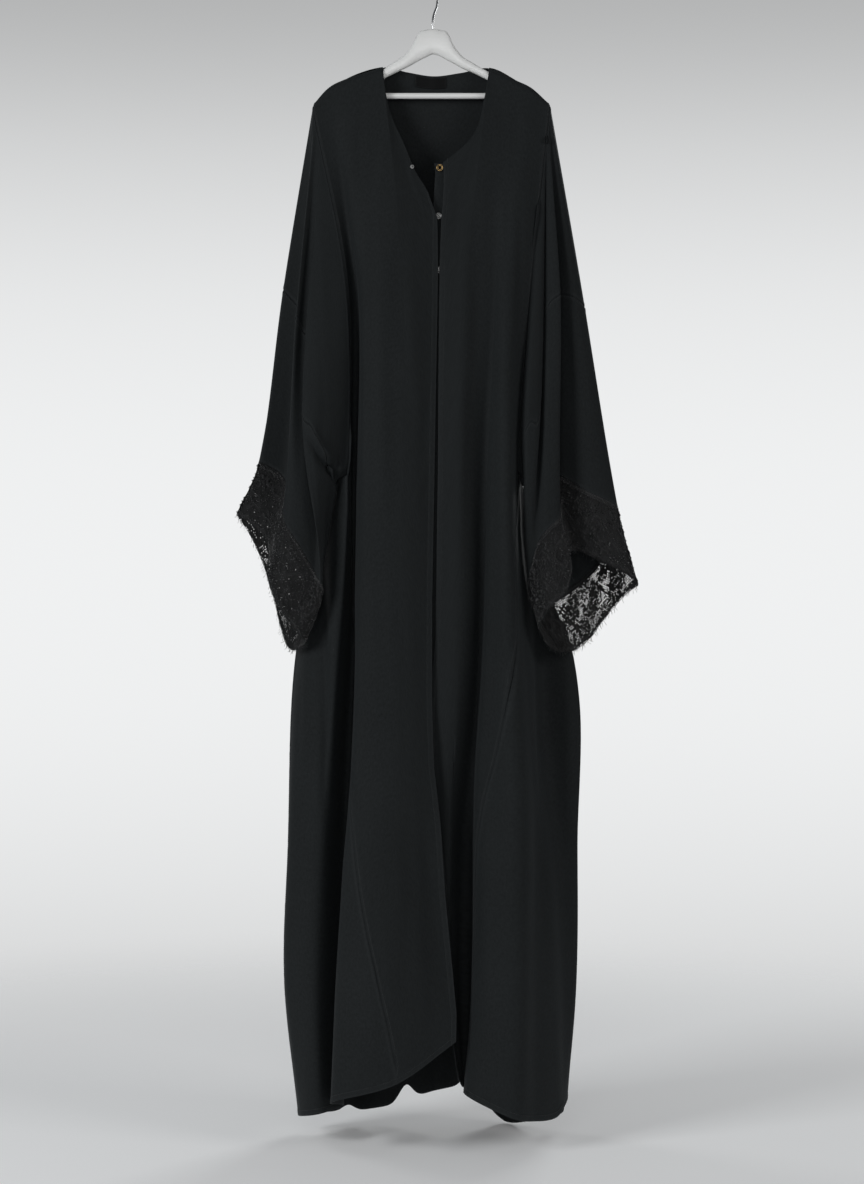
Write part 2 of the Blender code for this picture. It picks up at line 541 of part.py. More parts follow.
# Hanger body by station: x, top drop, bottom drop, half thickness.
HANGER = (
    (-173, 178, 186, 2.6), (-170, 174, 193, 4.2), (-163, 168, 195, 4.8), (-150, 158, 184, 6.0), (-120, 143, 162, 6.2),
    (-77, 128, 142, 6.2), (-57, 114, 132, 6.5), (-42, 103.4, 125, 7), (-31, 87.5, 119, 7.2), (-24, 74, 115, 7.4),
    (-12, 68, 109, 7.5), (-2, 66.5, 104.5, 7.5), (10, 68.5, 108, 7.5), (21, 73, 114, 7.4), (29, 90, 118, 7.2),
    (41, 106, 125, 7), (58, 117.5, 132, 6.5), (80, 130, 143, 6.2), (120, 147, 164, 6.2), (144, 160, 184, 6.0),
    (156, 169, 193, 4.2), (163, 174, 192, 4.2), (166, 179, 187, 2.6),
)


def hanger():
    """The wooden body with its cross bar, and the steel hook."""
    sides = 10
    points, faces = [], []
    for x, top, bottom, half in HANGER:
        middle, tall = (top + bottom) / 2, (bottom - top) / 2
        for k in range(sides):
            turn = 2 * math.pi * k / sides
            square = .78
            c, s = math.cos(turn), math.sin(turn)
            points.append((x, half * math.copysign(abs(c) ** square, c), -(middle - tall * math.copysign(abs(s) ** square, s))))
    for i in range(len(HANGER) - 1):
        for k in range(sides):
            n = (k + 1) % sides
            faces.append((i * sides + k, i * sides + n, (i + 1) * sides + n, (i + 1) * sides + k))
    faces += [tuple(range(sides))[::-1], tuple(range(len(points) - sides, len(points)))]
    wood = finish("hanger_body", points, faces, WOOD, .35)
    turn_out(wood)
    bar_drop, bar_radius, left, right = 167.0, 4.4, -147.0, 142.0
    bar = tube("hanger_bar", [(x, 0, -bar_drop) for x in np.linspace(left, right, 6)], bar_radius, 12, WOOD, .35)
    hole = tube("bar_hole", [(x, 0, -bar_drop) for x in (left - .6, right + .6)], bar_radius + .4, 12, WOOD)
    stem_hole = tube("stem_hole", [(-2, 0, -50), (-2, 0, -90)], 2.0, 12, WOOD)
    for cutter in (hole, stem_hole):
        cut = wood.modifiers.new(cutter.name, "BOOLEAN")
        cut.operation, cut.solver, cut.object = "DIFFERENCE", "EXACT", cutter
        cutter.hide_render = True
        cutter.hide_set(True)
    wire, loop = 1.6, 19.5
    sideways = np.array((.26, .966))
    centre_z = wire - loop
    path = [(-2, 0, -88), (-2, 0, -70), (-2, 0, -56), (-1.2, 1, -48), (.8, 5, -40)]
    for turn in np.radians(np.linspace(-52, 203, 20)):
        across = sideways * loop * math.cos(turn)
        path.append((across[0], across[1], centre_z + loop * math.sin(turn)))
    tube("hanger_hook", path, wire, 8, STEEL, .25, 1.0)


body()
sleeves()
trims()
hanger()
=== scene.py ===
"""How the long black abaya cloak looks, on its plain white hanger.

Lengths are in millimetres in the tables and become metres on the way into a mesh. x runs to
the viewer's right, y to the back, and drop is how far below the hook's inner top a point lies.
The tables give each fold line as it is seen from EYE_BACK in front; true_place() takes what
is seen to where the cloth is. Right and left are the wearer's."""

import math

import bmesh
import bpy
import numpy as np
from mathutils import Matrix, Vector


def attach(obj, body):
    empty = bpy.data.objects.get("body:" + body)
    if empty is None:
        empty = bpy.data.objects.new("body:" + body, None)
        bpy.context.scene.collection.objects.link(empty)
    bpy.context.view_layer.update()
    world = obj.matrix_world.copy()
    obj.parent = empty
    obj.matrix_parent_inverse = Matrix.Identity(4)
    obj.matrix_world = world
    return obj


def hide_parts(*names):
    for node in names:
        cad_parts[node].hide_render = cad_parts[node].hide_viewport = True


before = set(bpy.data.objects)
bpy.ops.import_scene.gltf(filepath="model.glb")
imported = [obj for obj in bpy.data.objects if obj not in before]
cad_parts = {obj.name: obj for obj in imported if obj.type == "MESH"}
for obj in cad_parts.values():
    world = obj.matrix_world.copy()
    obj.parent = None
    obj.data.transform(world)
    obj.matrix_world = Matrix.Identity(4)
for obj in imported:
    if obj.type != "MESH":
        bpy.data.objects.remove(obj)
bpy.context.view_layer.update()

BODY = "root"

WALL = 0.9            # the cloth as it is shown
SEAM_GAP = 0.12       # each piece's edge lies this far back from its seam
SIDE_GAP = 0.2
ARM_CLEAR = 0.25      # how far outside the body the sleeves begin
LIP = ((1.0, .9), (6.0, 1.5))   # a seam allowance: how far past the seam, how far beneath the neighbour
PITCH = 4.2           # distance between the columns of a cloth mesh
ROW_PITCH = 6.5
EYE_BACK = 3600.0     # how far in front of the hook the camera stands
EYE_DROP = 911.0
FLOOR_DROP = 1733.0
FLOOR_RADIUS = 2600.0
FLOOR_WHOLE, FLOOR_GONE = .7, 2.3   # metres from its middle: where the floor starts to fade, and has faded
IMAGE_HIGH = 1.776    # metres of the plane y = 0 that the photograph's height covers

# Stations that the seams and the rows of the meshes begin and end at.
CHEST_ROW = 190.0     # below it the rows of a front or of the back are even
UNDERARM = 734.0
HEM_ROW = 1668.0      # the rows are even down to here, and close together below it
HEM = 1680.0
UNDER_LINE = 29.0     # the sleeve line of the underarm seam, minus behind
TURN_LINE = 27.0      # past this sleeve line the armhole turns under the arm
CAMERA_HIGH = 24.0    # height of the camera's sensor

# Nominal drops of the eight stations of a fold line: collar or shoulder, chest, underarm,
# elbow, cuff, knee, shin, hem. A line's own top and hem drops stand in its row.
STATIONS = (150.0, 473.0, 734.0, 860.0, 983.0, 1298.0, 1500.0, 1680.0)
OVER_SHOULDER = 130.0    # the station where front and back meet on top of the hanger

# Fold line: top x, top drop, x at the six inner stations, hem x, hem drop, y at the eight.
FRONT_RIGHT = (
    ("closure", -34, 269, 5, 1, -2, -3, 13, 31, 33, 1586, -20, -36, -44, -48, -52, -66, -75, -84),
    ("middle", -77, 124, -48, -51, -52, -54, -57, -57, -57, 1650, -9, -50, -60, -65, -70, -88, -102, -116),
    ("rim", -132, 142, -108, -110, -111, -112, -129, -143, -152, 1676, -9, -40, -50, -54, -58, -72, -85, -98),
    ("valley", -159, 156, -118, -120, -120, -120, -132, -137, -136, 1681, -8, -12, -4, -2, 0, -8, -14, -22),
    ("rib", -181, 181, -130, -128, -134, -144, -171, -178, -172, 1694, -8, -24, -25, -28, -32, -40, -44, -48),
    ("side", -181, 181, -130, -136, -161, -187, -214, -219, -199, 1697, -8, -24, -22, -2, -2, -14, -17, -20),
    ("seam", -181, 181, -130, -141, -180, -204, -219, -224, -203, 1695, -8, -24, -14, 27, 24, 14, 14, 14),
)
FRONT_LEFT = (
    ("closure", 14, 266, 8, 6, 3, 2, 4, 23, 38, 1640, -16, -34, -42, -44, -46, -46, -46, -48),
    ("middle", 83, 125, 48, 42, 41, 38, 30, 34, 42, 1648, -9, -46, -56, -57, -57, -48, -42, -36),
    ("valley", 102, 133, 86, 74, 71, 69, 50, 47, 46, 1656, -9, -36, -34, -31, -28, -18, -15, -14),
    ("rim", 123, 144, 99, 87, 84, 81, 60, 55, 50, 1668, -9, -42, -46, -49, -52, -60, -72, -84),
    ("ridge", 147, 156, 117, 110, 110, 111, 122, 120, 117, 1701, -9, -48, -60, -65, -70, -88, -101, -114),
    ("armhole", 174, 181, 144, 126, 124, 129, 152, 154, 154, 1705, -8, -26, -30, -36, -42, -56, -70, -80),
    ("rib", 174, 181, 144, 128, 130, 140, 172, 180, 182, 1700, -8, -26, -24, -26, -26, -40, -46, -50),
    ("dip", 174, 181, 144, 129, 134, 156, 188, 194, 193, 1686, -8, -26, -18, -4, 2, -8, -18, -30),
    ("side", 174, 181, 144, 130, 146, 198, 214, 213, 200, 1670, -8, -24, -12, 12, 18, 4, 0, -4),
    ("seam", 174, 181, 144, 130, 156, 198, 209, 208, 194, 1667, -8, -22, -6, 26, 30, 22, 20, 18),
)
BACK = (
    ("seam_r", -181, 181, -130, -141, -180, -204, -219, -224, -203, 1695, 8, 22, -14, 27, 24, 14, 14, 14),
    ("fold_r", -181, 181, -130, -130, -162, -193, -206, -206, -196, 1693, 8, 23, 14, 42, 46, 54, 60, 66),
    ("hollow_r", -132, 142, -108, -100, -118, -142, -152, -154, -152, 1690, 9, 30, 30, 38, 44, 56, 64, 70),
    ("flute_r", -77, 124, -60, -62, -76, -92, -102, -104, -104, 1687, 9, 40, 52, 64, 74, 94, 106, 114),
    ("hollow_mid_r", -40, 131, -28, -34, -42, -48, -55, -55, -54, 1678, 10, 38, 44, 50, 56, 66, 72, 76),
    ("flute_mid", 0, 137, 2, 0, 0, 0, 2, 3, 4, 1658, 10, 42, 56, 66, 76, 92, 102, 110),
    ("hollow_mid_l", 40, 132, 32, 36, 44, 50, 56, 56, 56, 1657, 10, 38, 44, 52, 58, 68, 74, 78),
    ("flute_l", 83, 125, 64, 66, 78, 92, 104, 104, 104, 1703, 9, 40, 52, 64, 76, 96, 108, 116),
    ("hollow_l", 123, 144, 110, 98, 112, 138, 148, 148, 146, 1704, 9, 30, 30, 38, 46, 58, 64, 70),
    ("fold_l", 174, 181, 144, 126, 144, 188, 202, 200, 190, 1694, 8, 22, 14, 38, 46, 54, 58, 62),
    ("seam_l", 174, 181, 144, 130, 156, 198, 209, 208, 194, 1667, 8, 22, -6, 26, 30, 22, 20, 18),
)

# Collar edges from the corner by the first snap up to the shoulder: fold line, x, drop.
COLLAR_RIGHT = (
    (0, -34, 269), (.09, -38, 256), (.26, -48, 232), (.48, -62, 202), (.67, -70, 175), (.84, -75, 148),
    (1, -77, 124),
)
COLLAR_LEFT = (
    (0, 14, 266), (.16, 35, 250), (.35, 56, 229), (.55, 69, 202), (.7, 75, 175), (.85, 80, 148),
    (1, 83, 125),
)
# Front edges: drop, x. The right one has its top corner fallen open.
EDGE_RIGHT = (
    (269, -34), (293, -19), (314, -8), (337, 0), (350, 5), (428, 6), (650, 2), (923, -3), (1080, -3),
    (1175, 0), (1259, 10), (1370, 18), (1475, 28), (1544, 34), (1586, 33),
)
EDGE_LEFT = (
    (266, 14), (281, 16), (332, 13), (352, 11), (428, 8), (734, 6), (983, 2), (1080, -8), (1175, -9),
    (1298, 4), (1400, 13), (1500, 23), (1586, 32), (1640, 38),
)
# Long seams of the fronts and of the back, from the underarm down: station, fold line.
SEAM_FRONT_RIGHT = (
    (734, 4), (983, 3), (1196, 2.15), (1280, 1.83), (1380, 1.57), (1475, 1.33), (1565, 1.14),
    (1680, .95),
)
SEAM_FRONT_LEFT = (
    (734, 5), (858, 4.5), (983, 4.35), (1128, 3.65), (1217, 3.26), (1286, 3.08), (1360, 3), (1680, 2.6),
)
SEAM_BACK_RIGHT = ((734, 1), (983, 1.4), (1298, 1.9), (1680, 2.2))

# Sleeve lines run down from the armhole; 0 is the outer fold, 29 and -29 the underarm seam,
# plus is the front. Each row: line, then x, y and drop at the sleeve's join, cuff seam and cuff edge.
SLEEVE_RIGHT = (
    (-29, -146, -22, 761, -176, -12, 920, -206, -14, 998),
    (-22, -154, 4, 706, -186, 0, 908, -216, -4, 998),
    (-16, -171, 22, 665, -198, 8, 884, -225, 4, 984),
    (-12, -189, 34, 623, -212, 14, 852, -232, 10, 959),
    (-8, -177, 16, 551, -228, 14, 814, -244, 12, 911),
    (-5, -201, 28, 500, -242, 14, 773, -262, 14, 857),
    (-3, -202, 14, 482, -252, 8, 746, -278, 8, 824),
    (0, -226, 4, 458, -262, -4, 718, -296, -2, 796),
    (3, -200, -4, 490, -222, -4, 748, -252, -12, 833),
    (5, -207, -28, 500, -226, -34, 796, -246, -38, 866),
    (8, -196, -22, 521, -204, -46, 840, -246, -46, 908),
    (10, -182, -28, 545, -180, -38, 881, -225, -46, 947),
    (12, -196, -42, 626, -172, -46, 894, -206, -42, 972),
    (16, -183, -50, 664, -168, -36, 906, -195, -32, 983),
    (22, -164, -42, 706, -170, -26, 914, -196, -24, 992),
    (29, -146, -22, 761, -176, -12, 920, -206, -14, 998),
)
SLEEVE_LEFT = (
    (-29, 138, -24, 773, 148, -12, 926, 189, -16, 1002),
    (-23, 147, 2, 706, 165, -4, 929, 202, -8, 1002),
    (-17, 156, 20, 665, 184, 8, 920, 218, 2, 996),
    (-13, 171, 32, 616, 207, 16, 905, 236, 14, 980),
    (-9, 166, 16, 540, 228, 22, 888, 255, 24, 954),
    (-5, 198, 28, 480, 252, 22, 857, 280, 22, 924),
    (-3, 208, 16, 470, 266, 12, 821, 294, 12, 911),
    (0, 226, 4, 484, 275, -2, 786, 304, 0, 898),
    (3, 207, -14, 467, 231, -16, 762, 254, -24, 868),
    (5, 184, -8, 464, 183, -2, 738, 208, -10, 851),
    (7, 189, -30, 464, 189, -38, 796, 206, -50, 884),
    (9, 171, -28, 482, 172, -48, 816, 198, -60, 914),
    (11, 165, -15, 521, 156, -44, 839, 171, -60, 940),
    (13, 160, -36, 629, 147, -44, 872, 159, -52, 959),
    (17, 144, -48, 656, 142, -40, 898, 166, -42, 983),
    (23, 134, -42, 690, 144, -30, 914, 177, -32, 996),
    (29, 138, -24, 773, 148, -12, 926, 189, -16, 1002),
)
# Where each sleeve line leaves the armhole: line, station.
ARMHOLE_LINES = ((0, 136), (5, 166), (12, 222), (16, 330), (22, 560), (27, 734))

# Hanger body by station: x, top drop, bottom drop, half thickness.
HANGER = (
    (-173, 178, 186, 2.6), (-170, 174, 193, 4.2), (-163, 168, 195, 4.8), (-150, 158, 184, 6.0),
    (-120, 143, 162, 6.2), (-77, 128, 142, 6.2), (-57, 114, 132, 6.5), (-42, 103.4, 125, 7),
    (-31, 87.5, 119, 7.2), (-24, 74, 115, 7.4), (-12, 68, 109, 7.5), (-2, 66.5, 104.5, 7.5),
    (10, 68.5, 108, 7.5), (21, 73, 114, 7.4), (29, 90, 118, 7.2), (41, 106, 125, 7),
    (58, 117.5, 132, 6.5), (80, 130, 143, 6.2), (120, 147, 164, 6.2), (144, 160, 184, 6.0),
    (156, 169, 193, 4.2), (163, 174, 192, 4.2), (166, 179, 187, 2.6),
)


def curve(rows, at):
    """A smooth line through a table's rows: the first column is the knot."""
    table = np.array(rows, float)
    return spline(table[:, 0], table[:, 1:], at)


def between(start, end, out, into, t):
    """The smooth way from start to end, which leaves along out and arrives along into."""
    return (start * (1 + 2 * t) + out * t) * (1 - t) ** 2 + (end * (3 - 2 * t) - into * (1 - t)) * t * t


def spline(knots, values, at):
    """Cubic through values at knots, each at its own place `at`. values may hold one set per place."""
    knots, values, at = (np.asarray(given, float) for given in (knots, values, at))
    step = np.diff(knots)
    if values.ndim < 3:
        values = values.reshape(1, len(knots), -1)
        values = np.broadcast_to(values, (at.size, *values.shape[1:]))
    slope = np.diff(values, axis=1) / step[:, None]
    tangent = np.empty(values.shape)
    tangent[:, 0], tangent[:, -1] = slope[:, 0], slope[:, -1]
    share = (step[1:] / (step[1:] + step[:-1]))[:, None]
    tangent[:, 1:-1] = slope[:, :-1] * share + slope[:, 1:] * (1 - share)
    place = np.clip(np.searchsorted(knots, at.ravel(), side="right") - 1, 0, len(step) - 1)
    each = np.arange(at.size)
    width = step[place][:, None]
    t = (at.ravel() - knots[place])[:, None] / width
    start, end = values[each, place], values[each, place + 1]
    out, into = tangent[each, place] * width, tangent[each, place + 1] * width
    beyond = np.where(t < 0, start + out * t, end + into * (t - 1))
    inside = between(start, end, out, into, t)
    return np.where((t < 0) | (t > 1), beyond, inside).reshape(at.shape + (values.shape[2],))


def true_place(x, y, drop):
    """Where a point that is seen at x and drop lies, at depth y."""
    near = 1 + y / EYE_BACK
    return np.stack([x * near, y, -(EYE_DROP + (drop - EYE_DROP) * near)], axis=-1)


class Panel:
    """One layer of the body: fold lines across, stations down."""

    def __init__(self, lines, collar, edge=None):
        table = np.array([row[1:] for row in lines], float)
        x = np.concatenate([table[:, :1], table[:, 2:9]], axis=1)
        nominal = np.array(STATIONS)
        drop = np.tile(nominal, (len(lines), 1))
        drop[:, 0], drop[:, -1] = table[:, 1], table[:, 9]
        self.lines = np.stack([x, table[:, 10:], drop], axis=-1)
        self.collar, self.edge = collar, edge
        self.last = len(lines) - 1

    def crown(self, line):
        """1 where the cloth goes over the hanger's arm, 0 along the collar."""
        low, high = self.collar
        inside = np.minimum(line - low, high - line)
        return np.clip(1 - inside / .05, 0, 1)

    def seen(self, line, station):
        """x, depth and drop of places on the layer, as they are seen."""
        line, station = np.broadcast_arrays(np.asarray(line, float), np.asarray(station, float))
        flat_line, flat_station = line.ravel(), station.ravel()
        size = flat_line.size
        down = np.maximum(flat_station, STATIONS[0])
        along = np.stack([spline(STATIONS, self.lines[i], down) for i in range(self.last + 1)], axis=1)
        point = spline(np.arange(self.last + 1), along, flat_line).reshape(size, 3)
        x, y, drop = point.T.copy()
        fade = np.clip((STATIONS[1] - down) / (STATIONS[1] - STATIONS[0]), 0, 1) ** 1.5
        crown = self.crown(flat_line)
        top_y = np.abs(spline(STATIONS, self.lines[:, :, 1].T, np.array([STATIONS[0]]))[0])
        radius = spline(np.arange(self.last + 1), top_y, flat_line)[:, 0]
        x, drop = self.fit_collar(flat_line, x, drop, fade)
        drop = drop + fade * crown * radius
        turn = np.clip((STATIONS[0] - flat_station) / (STATIONS[0] - OVER_SHOULDER), 0, 1) * math.pi / 2
        y = y * np.cos(turn)
        drop = drop - radius * crown * np.sin(turn)
        if self.edge is not None:
            x = x + self.pull_to_edge(flat_line, down)
        return [part.reshape(line.shape) for part in (x, y, drop)]

    def fit_collar(self, line, x, drop, fade):
        """Brings the top of a front to its collar's edge and its shoulder."""
        if self.edge is None:
            return x, drop
        rows = COLLAR_RIGHT if self.edge is EDGE_RIGHT else COLLAR_LEFT
        shoulder = spline(np.arange(1, self.last + 1), self.lines[1:, 0][:, [0, 2]], np.maximum(line, 1))
        wanted = np.where(line[:, None] < 1, curve(rows, np.clip(line, 0, 1)), shoulder)
        plain = spline(np.arange(self.last + 1), self.lines[:, 0][:, [0, 2]], line)
        return x + fade * (wanted[:, 0] - plain[:, 0]), drop + fade * (wanted[:, 1] - plain[:, 1])

    def pull_to_edge(self, line, down):
        """How far x has to move for the first fold line to run on the front's edge."""
        own = spline(STATIONS, self.lines[0], down)
        ended = np.array(self.edge, float)
        wanted = np.interp(own[:, 2], ended[:, 0], ended[:, 1])
        return (wanted - own[:, 0]) * np.clip(1 - line, 0, 1) ** 2 * np.clip((down - STATIONS[0]) / 60, 0, 1)

    def __call__(self, line, station):
        return true_place(*self.seen(line, station))


class Sleeve:
    """A tube from the armhole (0) past its join (1) and cuff seam (2) to the cuff's edge (3)."""

    def __init__(self, rows, front, back, front_arm, back_arm, front_under, back_under):
        self.rows = np.array(rows, float)
        self.front, self.back = front, back
        self.arm = (front_arm, back_arm)
        self.under = (front_under, back_under)

    def armhole(self, line):
        """Where sleeve lines leave the body, half on the front layer and half on the back."""
        ends, far = [], np.abs(line)
        for panel, arm, under in zip((self.front, self.back), self.arm, self.under):
            station = np.interp(far, *zip(*ARMHOLE_LINES))
            turned = np.clip((far - TURN_LINE) / (UNDER_LINE - TURN_LINE), 0, 1)
            ends.append(panel(arm + (under - arm) * turned, station))
        blend = np.clip(.5 + line / 5, 0, 1)[..., None]
        point = ends[0] * blend + ends[1] * (1 - blend)
        clear = ARM_CLEAR * np.clip(far / 6, 0, 1) * np.clip((UNDER_LINE - far) / 3, 0, 1)
        point[..., 0] += np.sign(point[..., 0]) * clear
        return point

    def __call__(self, line, down):
        line, down = np.broadcast_arrays(np.asarray(line, float), np.asarray(down, float))
        flat, w = line.ravel(), down.ravel()
        rings = [self.armhole(flat)]
        for k in range(3):
            seen = spline(self.rows[:, 0], self.rows[:, 1 + 3 * k:4 + 3 * k], flat)
            rings.append(true_place(*seen.reshape(-1, 3).T))
        p = np.stack(rings, axis=1)
        length = np.linalg.norm(np.diff(p, axis=1), axis=2)[..., None] + 1e-6
        slope = np.diff(p, axis=1) / length
        m = np.empty(p.shape)
        m[:, 0], m[:, 3] = slope[:, 0], slope[:, 2]
        m[:, 1:3] = (p[:, 2:] - p[:, :2]) / (length[:, 1:] + length[:, :-1])
        k = np.clip(w.astype(int), 0, 2)
        each = np.arange(w.size)
        t = (w - k)[:, None]
        h = length[each, k]
        point = between(p[each, k], p[each, k + 1], m[each, k] * h, m[each, k + 1] * h, t)
        return point.reshape(line.shape + (3,))


class Shade:
    """A shader socket that takes part in Python sums: mask * 2 + 1 adds the Math nodes."""

    def __init__(self, finish, socket):
        self.finish, self.socket = finish, socket

    def math(self, operation, first, second):
        return self.finish.node("ShaderNodeMath", {"operation": operation}, {0: first, 1: second})

    def __add__(self, other):
        return self.math("ADD", self, other)

    def __radd__(self, other):
        return self.math("ADD", other, self)

    def __sub__(self, other):
        return self.math("SUBTRACT", self, other)

    def __rsub__(self, other):
        return self.math("SUBTRACT", other, self)

    def __mul__(self, other):
        return self.math("MULTIPLY", self, other)

    def clamped(self):
        return self.finish.node("ShaderNodeClamp", {}, {"Value": self})

    def band(self, low, high, start=0.0, end=1.0):
        """Runs smoothly from start at low to end at high."""
        ends = {"Value": self, "From Min": low, "From Max": high, "To Min": start, "To Max": end}
        return self.finish.node("ShaderNodeMapRange", {"interpolation_type": "SMOOTHSTEP"}, ends)


class Finish:
    """A material under construction."""

    def __init__(self, name):
        self.material = bpy.data.materials.new(name)
        self.material.use_nodes = True
        self.tree = self.material.node_tree
        self.shader = self.tree.nodes["Principled BSDF"]

    def node(self, kind, settings, sockets, out=0):
        made = self.tree.nodes.new(kind)
        for key, value in settings.items():
            setattr(made, key, value)
        self.feed(made, sockets)
        return Shade(self, made.outputs[out])

    def feed(self, made, sockets):
        for key, value in sockets.items():
            socket = made.inputs[key]
            if isinstance(value, Shade):
                self.tree.links.new(value.socket, socket)
            else:
                socket.default_value = value

    def set(self, **sockets):
        self.feed(self.shader, {key.replace("_", " "): value for key, value in sockets.items()})

    def weave_place(self):
        """The piece's own cloth coordinates, in metres along and across the grain."""
        return self.node("ShaderNodeUVMap", {"uv_map": "weave"}, {})

    def place(self):
        return self.node("ShaderNodeTexCoord", {}, {}, "Object")

    def stretched(self, vector, scale):
        return self.node("ShaderNodeMapping", {}, {"Vector": vector, "Scale": scale})

    def noise(self, vector, scale, detail=2.0, rough=0.5):
        sockets = {"Vector": vector, "Scale": scale, "Detail": detail, "Roughness": rough}
        return self.node("ShaderNodeTexNoise", {}, sockets)

    def cells(self, vector, scale, out=0):
        return self.node("ShaderNodeTexVoronoi", {"feature": "F1"}, {"Vector": vector, "Scale": scale}, out)

    def waves(self, vector, scale, direction, bend):
        sockets = {"Vector": vector, "Scale": scale, "Distortion": bend}
        return self.node("ShaderNodeTexWave", {"bands_direction": direction}, sockets)

    def painted(self, share, below, above):
        """Two colours mixed: all below where share is 0, all above where it is 1."""
        made = self.tree.nodes.new("ShaderNodeMix")
        made.data_type = "RGBA"
        below, above = ((*colour, 1) if isinstance(colour, tuple) else colour for colour in (below, above))
        self.feed(made, {0: share, 6: below, 7: above})
        return Shade(self, made.outputs[2])

    def bumped(self, height, distance, strength=1.0, under=None):
        sockets = {"Height": height, "Distance": distance, "Strength": strength}
        if under is not None:
            sockets["Normal"] = under
        return self.node("ShaderNodeBump", {}, sockets)

    def mark(self, name):
        return self.node("ShaderNodeAttribute", {"attribute_name": name}, {}, "Fac")


def crepe_finish():
    """Matt black crepe: a pebbled weave, slightly dusty where it is rubbed."""
    f = Finish("black_crepe")
    cloth = f.weave_place()
    pebble = f.noise(cloth, 620, 3, .65)
    grain = f.noise(f.stretched(cloth, (1, .28, 1)), 900)
    mottle = f.noise(cloth, 130, 3, .65)
    crinkle = f.noise(f.stretched(cloth, (1, .6, 1)), 330, 2, .6)
    drift = f.noise(cloth, 5.5)
    worn = f.mark("worn")
    lint_scale = 58
    lint = f.cells(cloth, lint_scale).band(.05, .035)
    spot = {"Vector": f.cells(cloth, lint_scale, "Position")}
    kept = f.node("ShaderNodeTexWhiteNoise", {"noise_dimensions": "3D"}, spot, "Value")
    shade = (drift * .35 + mottle * .5 + (crinkle - .5) * .9 + pebble * .15).clamped()
    tone = f.painted(shade, (.0045, .0056, .0060), (.0168, .0195, .0206))
    tone = f.painted((worn * (mottle * .7 + .4)).clamped() * .5, tone, (.030, .033, .035))
    tone = f.painted(lint * kept.band(.93, .95) * .2, tone, (.10, .10, .098))
    creases = f.bumped(mottle * .55 + crinkle * .45, .0011, .5)
    f.set(Base_Color=tone, Roughness=(.78 + (mottle - .5) * .12 - worn * .08).clamped(),
          Sheen_Weight=.035, Sheen_Roughness=.45, Sheen_Tint=(.80, .88, .92, 1), Specular_IOR_Level=.16,
          Normal=f.bumped(pebble * .65 + grain * .35, .00035, .55, creases))
    return f.material


def lace_finish():
    """Corded black lace: matt thread with a slight silk gloss on its raised cords."""
    f = Finish("corded_lace")
    cloth = f.weave_place()
    twist = f.waves(f.stretched(cloth, (1, .7, 1)), 520, "DIAGONAL", 2.5)
    fuzz = f.noise(cloth, 1500)
    patch = f.noise(cloth, 60)
    raised = f.mark("raised")
    shade = (patch * .4 + twist * .45 + raised * .3 - .15).clamped()
    f.set(Base_Color=f.painted(shade, (.0025, .0025, .0027), (.019, .0195, .020)),
          Roughness=(.62 - raised * .2 + (fuzz - .5) * .16).clamped(), Sheen_Weight=.03, Sheen_Roughness=.4,
          Specular_IOR_Level=.3, Normal=f.bumped(twist * .7 + fuzz * .3, .0006, .9))
    return f.material


def bead_finish():
    """Small jet glass beads."""
    f = Finish("jet_bead")
    cloud = f.noise(f.place(), 420, 1)
    tone = f.painted(cloud, (.004, .004, .0045), (.02, .02, .022))
    f.set(Base_Color=tone, Roughness=cloud.band(.3, .7, .12, .3), Coat_Weight=.4, Coat_Roughness=.12,
          Specular_IOR_Level=.6)
    return f.material


def thread_finish():
    """Sewing thread: a little lighter than the cloth, with its ply."""
    f = Finish("black_thread")
    ply = f.waves(f.place(), 900, "DIAGONAL", 1.0)
    tone = f.painted(ply, (.010, .0115, .012), (.026, .029, .030))
    f.set(Base_Color=tone, Roughness=ply.band(0, 1, .66, .54), Sheen_Weight=.04, Specular_IOR_Level=.25,
          Normal=f.bumped(ply, .0001, .5))
    return f.material


def paint_finish():
    """Satin white paint on smooth wood."""
    f = Finish("white_paint")
    place = f.place()
    grain = f.noise(f.stretched(place, (2, 30, 30)), 9, 3)
    speck = f.noise(place, 700)
    tone = f.painted(grain, (.80, .80, .78), (.87, .87, .86))
    tone = f.painted(f.mark("worn") * .35, tone, (.62, .60, .56))
    f.set(Base_Color=tone, Roughness=speck.band(.3, .7, .30, .42), Coat_Weight=.25, Coat_Roughness=.2,
          Normal=f.bumped(speck * .4 + grain * .6, .00012, .35))
    return f.material


def wire_finish():
    """Bright drawn steel wire."""
    f = Finish("steel_wire")
    drawn = f.noise(f.stretched(f.place(), (60, 60, 900)), 1.2, 3)
    f.set(Base_Color=f.painted(drawn, (.46, .46, .46), (.66, .66, .67)), Metallic=1.0,
          Roughness=drawn.band(.3, .7, .16, .34), Normal=f.bumped(drawn, .00005, .4))
    return f.material


def metal_finish(name, low, high, rough):
    """A plated snap: polished, with a dull bloom in its hollows."""
    f = Finish(name)
    bloom = f.noise(f.place(), 900, 3, .6)
    f.set(Base_Color=f.painted(bloom, low, high), Metallic=1.0,
          Roughness=bloom.band(.3, .7, rough * .7, rough * 1.5), Normal=f.bumped(bloom, .00004, .4))
    return f.material


def satin_finish():
    """The blank woven label."""
    f = Finish("label_satin")
    cloth = f.weave_place()
    warp = f.waves(cloth, 520, "X", .3)
    weft = f.waves(cloth, 300, "Y", .3)
    tone = f.painted((warp * .5 + weft * .3).clamped(), (.0016, .0018, .002), (.004, .0043, .0046))
    tone = f.painted(f.mark("worn") * .6, tone, (.012, .0125, .013))
    f.set(Base_Color=tone, Roughness=warp.band(0, 1, .52, .66), Specular_IOR_Level=.12,
          Normal=f.bumped(warp * .6 + weft * .4, .00015, .5))
    return f.material


